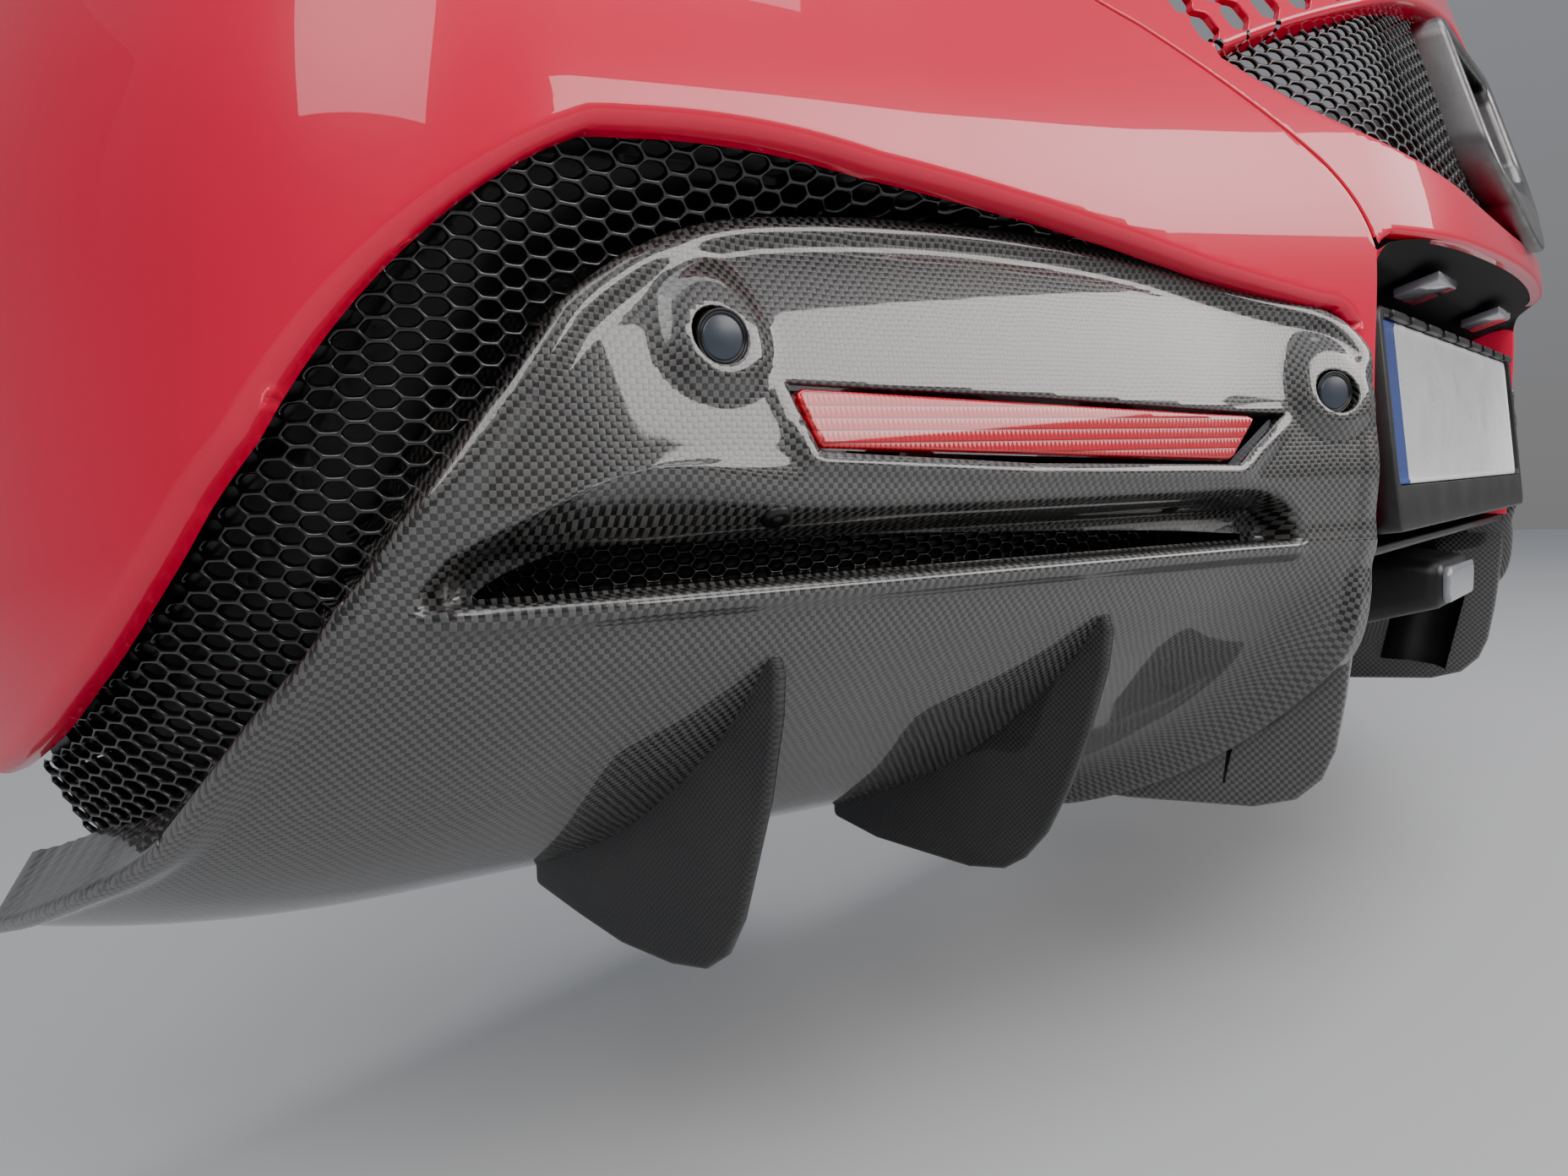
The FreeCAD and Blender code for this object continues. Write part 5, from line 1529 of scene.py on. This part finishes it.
def build_materials(settings):
    """Every finish by the name of its slot."""
    groups = build_groups()
    paint = tuple(settings.paint) + (1.0,)
    made = {}
    finish = Finish("body_paint", paint, 0.34, 0.0, Coat_Weight=0.75, Coat_Roughness=0.02,
                    Specular_IOR_Level=0.2)
    grain = finish.group(groups["grain"], Vector=finish.spot, Size=0.0022, Softness=0.7)
    finish.bump(grain["Height"], 0.00002)
    finish.colour = finish.nodes.mix(finish.nodes.span(grain["Mottle"], 0.3, 0.7, 0.0, 0.12),
                                     paint, (paint[0] * 0.8, paint[1] * 0.7, paint[2] * 0.7, 1.0))
    made["body_paint"] = finish.dusty(groups, 0.05, 0.08).dark_inside().done()
    # The second colour of each carbon is painted sheen on the tows that run one way.
    made["carbon"] = carbon_material(
        "carbon", groups, settings, settings.weave_pitch,
        ((0.006, 0.006, 0.0065, 1.0), (0.105, 0.103, 0.098, 1.0), (0.030, 0.030, 0.030, 1.0)), 0.30,
        1.0, 0.00016)
    made["dark_carbon"] = carbon_material(
        "dark_carbon", groups, settings, settings.weave_pitch * 0.62,
        ((0.003, 0.003, 0.0033, 1.0), (0.030, 0.030, 0.031, 1.0), (0.009, 0.009, 0.010, 1.0)), 0.45,
        0.3, 0.00014)
    # The faint red emission is painted light: the reflector glows though it is no lamp.
    finish = Finish("reflector_red", (0.60, 0.008, 0.022, 1.0), 0.25, 0.0, Coat_Weight=1.0,
                    Coat_Roughness=0.03, Emission_Color=(0.5, 0.003, 0.012, 1.0),
                    Emission_Strength=0.10)
    prisms = finish.group(groups["prisms"], Vector=finish.surface)
    # The grooves between the prisms are painted darker, as painted shade.
    finish.colour = finish.nodes.mix(prisms["Groove"], finish.colour, (0.22, 0.002, 0.008, 1.0))
    finish.bump(prisms["Height"], 0.0004)
    made["reflector_red"] = finish.dusty(groups, 0.06).done()
    finish = Finish("sensor_plastic", (0.035, 0.045, 0.062, 1.0), 0.30)
    axes = finish.nodes.add("ShaderNodeSeparateXYZ", {0: finish.surface}).outputs
    radius = finish.nodes.math("SQRT", finish.nodes.math(
        "ADD", finish.nodes.math("MULTIPLY", axes[0], axes[0]),
        finish.nodes.math("MULTIPLY", axes[1], axes[1])))
    ring = finish.nodes.span(radius, 0.0099, 0.0103)
    finish.colour = finish.nodes.mix(ring, finish.colour, (0.006, 0.006, 0.007, 1.0))
    made["sensor_plastic"] = finish.grained(groups, 0.0006, 0.00002).dusty(groups, 0.1).done()
    made["mesh_black"] = Finish(
        "mesh_black", (0.006, 0.006, 0.0065, 1.0), 0.30, 0.0, Coat_Weight=0.6,
        Coat_Roughness=0.15).grained(groups, 0.0007, 0.00006).dusty(
            groups, 0.08).worn(groups, 0.3, (0.10, 0.10, 0.10, 1.0)).done()
    made["finisher_metal"] = Finish(
        "finisher_metal", (0.17, 0.165, 0.165, 1.0), 0.34, 1.0).grained(
            groups, 0.0009, 0.00005).worn(groups, 0.5, (0.75, 0.75, 0.75, 1.0)).done()
    made["pipe_steel"] = Finish(
        "pipe_steel", (0.20, 0.19, 0.185, 1.0), 0.42, 1.0).grained(groups, 0.0012, 0.00005).dusty(
            groups, 0.3, 0.03, (0.02, 0.018, 0.016, 1.0)).done()
    made["black_plastic"] = Finish("black_plastic", (0.008, 0.008, 0.0085, 1.0), 0.40).grained(
        groups, 0.0006, 0.00004).dusty(groups, 0.12).worn(
            groups, 0.2, (0.06, 0.06, 0.06, 1.0)).done()
    made["lamp_clear"] = Finish(
        "lamp_clear", (0.30, 0.31, 0.33, 1.0), 0.14, 0.0, Coat_Weight=1.0,
        Coat_Roughness=0.03).grained(groups, 0.004, 0.0003).dusty(groups, 0.1).done()
    made["plate_white"] = plate_material(groups)
    made["beam_aluminium"] = Finish(
        "beam_aluminium", (0.55, 0.56, 0.57, 1.0), 0.38, 1.0).grained(
            groups, 0.001, 0.00006).dusty(groups, 0.3).done()
    made["bracket_steel"] = Finish("bracket_steel", (0.016, 0.016, 0.017, 1.0), 0.42).grained(
        groups, 0.0008, 0.00006).dusty(groups, 0.3).worn(
            groups, 0.4, (0.12, 0.12, 0.12, 1.0)).done()
    return made


def plate_material(groups):
    """Blank white sheet with a plain blue strip at its left end."""
    finish = Finish("plate_white", (0.86, 0.87, 0.88, 1.0), 0.30, 0.0, Coat_Weight=0.3,
                    Coat_Roughness=0.1)
    across = finish.nodes.add("ShaderNodeSeparateXYZ", {0: finish.spot}).outputs[0]
    strip = finish.nodes.math("LESS_THAN", across, STRIP_END)
    finish.colour = finish.nodes.mix(strip, finish.colour, (0.02, 0.07, 0.35, 1.0))
    return finish.grained(groups, 0.001, 0.00003).dusty(groups, 0.05).done()


# --- properties

class BUMPER_finish(bpy.types.PropertyGroup):
    """Colours and cloth."""

    paint: FloatVectorProperty(
        name="Paint", description="Colour of the painted panels", subtype="COLOR",
        default=(0.74, 0.004, 0.048), min=0.0, max=1.0)
    weave_pitch: FloatProperty(
        name="Tow width", description="Width of a carbon tow on the pods", unit="LENGTH",
        default=0.0027, min=0.0005, max=0.02)
    tow_drift: FloatProperty(
        name="Tow drift", description="How far the tows wander, in tow widths", default=0.25,
        min=0.0, max=2.0)


class BUMPER_stage(bpy.types.PropertyGroup):
    """Floor, lights and camera."""

    floor_height: FloatProperty(
        name="Floor", description="Height of the floor", unit="LENGTH", default=-0.455)
    floor_size: FloatProperty(
        name="Floor size", description="Width of the floor", unit="LENGTH", default=14.0)
    key_power: FloatProperty(
        name="Key light", description="Power of the large light on the left", unit="POWER",
        default=145.0)
    top_power: FloatProperty(
        name="Top light", description="Power of the light overhead", unit="POWER", default=120.0)
    rear_power: FloatProperty(
        name="Rear light", description="Power of the light behind the camera", unit="POWER",
        default=200.0)
    sky: FloatProperty(
        name="Sky", description="Strength of the even light all round", default=0.78)


# --- operators

def settings():
    return bpy.context.scene.bumper_finish


_materials = {}


def material(slot):
    """The finish of a slot, made once for the whole scene."""
    if not _materials:
        _materials.update(build_materials(settings()))
    return _materials[slot]


class BUMPER_OT_painted_panels(bpy.types.Operator):
    """Build the two painted side panels, the centre panel and the plate's recess"""

    bl_idname = "bumper.painted_panels"
    bl_label = "Painted panels"

    def execute(self, context):
        paint = material("body_paint")
        add_pair("side_panel_skin", build_side_panel(), paint, "side_panel")
        add_piece("centre_panel_skin", build_centre_panel(), paint, ["centre_panel"])
        add_piece("plate_recess", build_recess(), paint, ["centre_panel"])
        return {"FINISHED"}


class BUMPER_OT_pods(bpy.types.Operator):
    """Build the carbon pods, each with its fence"""

    bl_idname = "bumper.pods"
    bl_label = "Carbon pods"

    def execute(self, context):
        carbon = material("carbon")
        add_pair("pod_shell", build_pod(), carbon, "diffuser_pod")
        add_pair("pod_fence", build_fence(), carbon, "diffuser_pod")
        return {"FINISHED"}


class BUMPER_OT_strakes(bpy.types.Operator):
    """Build the two strakes under each pod"""

    bl_idname = "bumper.strakes"
    bl_label = "Strakes"

    def execute(self, context):
        for name, across, points in STRAKES:
            mesh = build_strake("strake_" + name, across, points)
            add_pair("strake_blade_" + name, mesh, material("dark_carbon"),
                     "strake_" + name)
        return {"FINISHED"}


class BUMPER_OT_meshes(bpy.types.Operator):
    """Build the outlet, slot and upper meshes, with dark boxes of painted shade behind the outlets
    and slots
    """

    bl_idname = "bumper.meshes"
    bl_label = "Honeycomb meshes"

    def execute(self, context):
        black = material("mesh_black")
        plastic = material("black_plastic")
        add_pair("outlet_wires", build_outlet_mesh(), black, "outlet_mesh")
        # A dark box put behind the outlet's mesh as painted shade.
        add_pair("outlet_shade_box", build_outlet_shade_box(), plastic, "outlet_duct")
        # A dark wall put behind the slot's mesh as painted shade.
        add_pair("slot_wires", build_slot_mesh(), black, "slot_mesh")
        add_pair("slot_shade_box", build_slot_shade_box(), plastic, "diffuser_pod")
        add_piece("upper_mesh_wires", build_upper_mesh(), black, ["upper_mesh"])
        return {"FINISHED"}


class BUMPER_OT_exhaust(bpy.types.Operator):
    """Build the cast exhaust finisher and the divided tail pipe in it"""

    bl_idname = "bumper.exhaust"
    bl_label = "Exhaust outlet"

    def execute(self, context):
        add_piece("exhaust_finisher_cast", build_finisher(), material("finisher_metal"),
                  ["exhaust_finisher"])
        add_piece("tail_pipe_tube", build_tail_pipe(), material("pipe_steel"),
                  ["tail_pipe"])
        return {"FINISHED"}


class BUMPER_OT_reflectors(bpy.types.Operator):
    """Build the red reflectors in their pockets"""

    bl_idname = "bumper.reflectors"
    bl_label = "Reflectors"

    def execute(self, context):
        add_pair("reflector_lens", build_reflector(), material("reflector_red"),
                 "reflector")
        return {"FINISHED"}


class BUMPER_OT_sensors(bpy.types.Operator):
    """Build the parking sensors and the push pins"""

    bl_idname = "bumper.sensors"
    bl_label = "Sensors and pins"

    def execute(self, context):
        plastic = material("sensor_plastic")
        for name, across, height in SENSORS:
            add_pair("sensor_disc_" + name, build_sensor(across, height), plastic,
                     "parking_sensor_" + name)
        for name, *spot in PINS:
            add_pair("push_pin_head_" + name, build_push_pin(*spot), material("black_plastic"),
                     "push_pin_" + name)
        return {"FINISHED"}


class BUMPER_OT_plate(bpy.types.Operator):
    """Build the blank number plate, its carrier and its two lamps"""

    bl_idname = "bumper.plate"
    bl_label = "Number plate"

    def execute(self, context):
        add_piece("number_plate_sheet", build_plate(), material("plate_white"),
                  ["number_plate"])
        add_piece("plate_carrier_frame", build_carrier(), material("black_plastic"),
                  ["plate_carrier"])
        add_pair("plate_lamp_lens", build_plate_lamp(), material("lamp_clear"),
                 "plate_lamp")
        return {"FINISHED"}


class BUMPER_OT_centre_lamp(bpy.types.Operator):
    """Build the centre lamp and the floor that it hangs under"""

    bl_idname = "bumper.centre_lamp"
    bl_label = "Centre lamp and floor"

    def execute(self, context):
        housing, lens = build_lamp()
        add_piece("centre_lamp_shell", housing, material("black_plastic"),
                  ["centre_lamp_housing"])
        add_piece("centre_lamp_glass", lens, material("lamp_clear"),
                  ["centre_lamp_lens"])
        add_piece("centre_floor_ramp", build_centre_floor(), material("dark_carbon"),
                  ["centre_floor"])
        return {"FINISHED"}


class BUMPER_OT_structure(bpy.types.Operator):
    """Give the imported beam, boxes, brackets and stays their finishes"""

    bl_idname = "bumper.structure"
    bl_label = "Beam and brackets"

    def execute(self, context):
        for name, slot in STRUCTURE:
            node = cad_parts[name]
            node.data.materials.clear()
            node.data.materials.append(material(slot))
        return {"FINISHED"}


class BUMPER_OT_stage(bpy.types.Operator):
    """Build the floor, the lights and the camera"""

    bl_idname = "bumper.stage"
    bl_label = "Stage"

    def execute(self, context):
        values = context.scene.bumper_stage
        build_floor(values)
        build_lights(values)
        build_camera()
        return {"FINISHED"}


# --- stage

def build_floor(values):
    """Wide pale floor that rises at its far edge into a backdrop."""
    half = values.floor_size / 2
    rise, radius, top = half * 0.55, 2.0, 5.0
    rows = [(-half, 0.0), (rise, 0.0)]
    rows += [(rise + radius * math.sin(a), radius - radius * math.cos(a))
             for a in (math.pi / 2 * k / 10 for k in range(1, 11))]
    rows.append((rise + radius, top))
    points = [(x, y, values.floor_height + z) for y, z in rows for x in (-half, half)]
    faces = [(2 * k, 2 * k + 1, 2 * k + 3, 2 * k + 2) for k in range(len(rows) - 1)]
    mesh = bpy.data.meshes.new("floor")
    mesh.from_pydata(points, [], faces)
    mesh.polygons.foreach_set("use_smooth", [True] * len(mesh.polygons))
    mesh.materials.append(Finish("floor", (0.56, 0.565, 0.57, 1.0), 0.6).done())
    floor = bpy.data.objects.new("floor", mesh)
    bpy.context.scene.collection.objects.link(floor)


def area_light(name, place_at, target, width, height, power, colour):
    """Soft rectangular light that looks at a target."""
    light = bpy.data.lights.new(name, "AREA")
    light.shape = "RECTANGLE"
    light.size, light.size_y = width, height
    light.energy = power
    light.color = colour
    lamp = bpy.data.objects.new(name, light)
    lamp.location = place_at
    lamp.rotation_mode = "QUATERNION"
    lamp.rotation_quaternion = (Vector(target) - Vector(place_at)).to_track_quat("-Z", "Y")
    bpy.context.scene.collection.objects.link(lamp)


def build_lights(values):
    area_light("key_light", (-3.4, -2.0, 2.6), (-0.6, 0.0, 0.0), 2.6, 2.2, values.key_power,
               (1.0, 0.985, 0.97))
    area_light("top_light", (-0.4, -1.6, 3.4), (-0.4, 0.0, 0.0), 3.4, 2.0, values.top_power,
               (1.0, 1.0, 1.0))
    area_light("rear_light", (1.3, -4.0, 1.9), (0.0, 0.0, 0.0), 3.4, 1.5, values.rear_power,
               (1.0, 0.96, 0.94))
    world = bpy.data.worlds.new("studio")
    bpy.context.scene.world = world
    world.use_nodes = True
    nodes = Nodes(world.node_tree)
    background = next(n for n in world.node_tree.nodes if n.type == "BACKGROUND")
    coords = nodes.add("ShaderNodeTexCoord")
    up = nodes.add("ShaderNodeSeparateXYZ", {0: coords.outputs["Generated"]}).outputs[2]
    colour = nodes.mix(nodes.span(up, -0.1, 0.9), (0.42, 0.41, 0.405, 1.0), (0.72, 0.78, 0.88, 1.0))
    nodes.set(background.inputs["Color"], colour)
    background.inputs["Strength"].default_value = values.sky


def build_camera():
    """Camera close to the left corner, at the height of the plate."""
    yaw, pitch, roll = (math.radians(a) for a in CAMERA_ANGLES)
    ahead = Vector((math.sin(yaw) * math.cos(pitch), math.cos(yaw) * math.cos(pitch),
                    math.sin(pitch)))
    right = Vector((math.cos(yaw), -math.sin(yaw), 0.0))
    up = right.cross(ahead)
    turned_right = right * math.cos(roll) + up * math.sin(roll)
    turned_up = up * math.cos(roll) - right * math.sin(roll)
    data = bpy.data.cameras.new("camera")
    data.sensor_width = 36.0
    data.lens = CAMERA_LENS
    data.clip_start, data.clip_end = 0.01, 100.0
    camera = bpy.data.objects.new("camera", data)
    columns = (turned_right, turned_up, -ahead, CAMERA_PLACE)
    camera.matrix_world = Matrix([[column[k] for column in columns] for k in range(3)]
                                 + [(0, 0, 0, 1)])
    bpy.context.scene.collection.objects.link(camera)
    bpy.context.scene.camera = camera
    view = bpy.context.scene.view_settings
    view.view_transform, view.look, view.exposure = "AgX", "AgX - Punchy", 0.0


# --- panel

OPERATORS = (
    BUMPER_OT_painted_panels, BUMPER_OT_pods, BUMPER_OT_strakes, BUMPER_OT_meshes,
    BUMPER_OT_exhaust, BUMPER_OT_reflectors, BUMPER_OT_sensors, BUMPER_OT_plate,
    BUMPER_OT_centre_lamp, BUMPER_OT_structure, BUMPER_OT_stage)


class BUMPER_PT_panel(bpy.types.Panel):
    """Lists the sizes and the operators"""

    bl_idname = "BUMPER_PT_panel"
    bl_label = "Bumper"
    bl_space_type = "VIEW_3D"
    bl_region_type = "UI"
    bl_category = "Bumper"

    def draw(self, context):
        for owner in (context.scene.bumper_finish, context.scene.bumper_stage):
            for name in owner.bl_rna.properties.keys():
                if name not in ("rna_type", "name"):
                    self.layout.prop(owner, name)
        for operator in OPERATORS:
            self.layout.operator(operator.bl_idname)


CLASSES = (BUMPER_finish, BUMPER_stage) + OPERATORS + (BUMPER_PT_panel,)


def register():
    for item in CLASSES:
        bpy.utils.register_class(item)
    bpy.types.Scene.bumper_finish = PointerProperty(type=BUMPER_finish)
    bpy.types.Scene.bumper_stage = PointerProperty(type=BUMPER_stage)


def unregister():
    del bpy.types.Scene.bumper_stage
    del bpy.types.Scene.bumper_finish
    for item in reversed(CLASSES):
        bpy.utils.unregister_class(item)


def main():
    register()
    for operator in OPERATORS:
        group, name = operator.bl_idname.split(".")
        getattr(getattr(bpy.ops, group), name)()


if __name__ == "__main__":
    main()
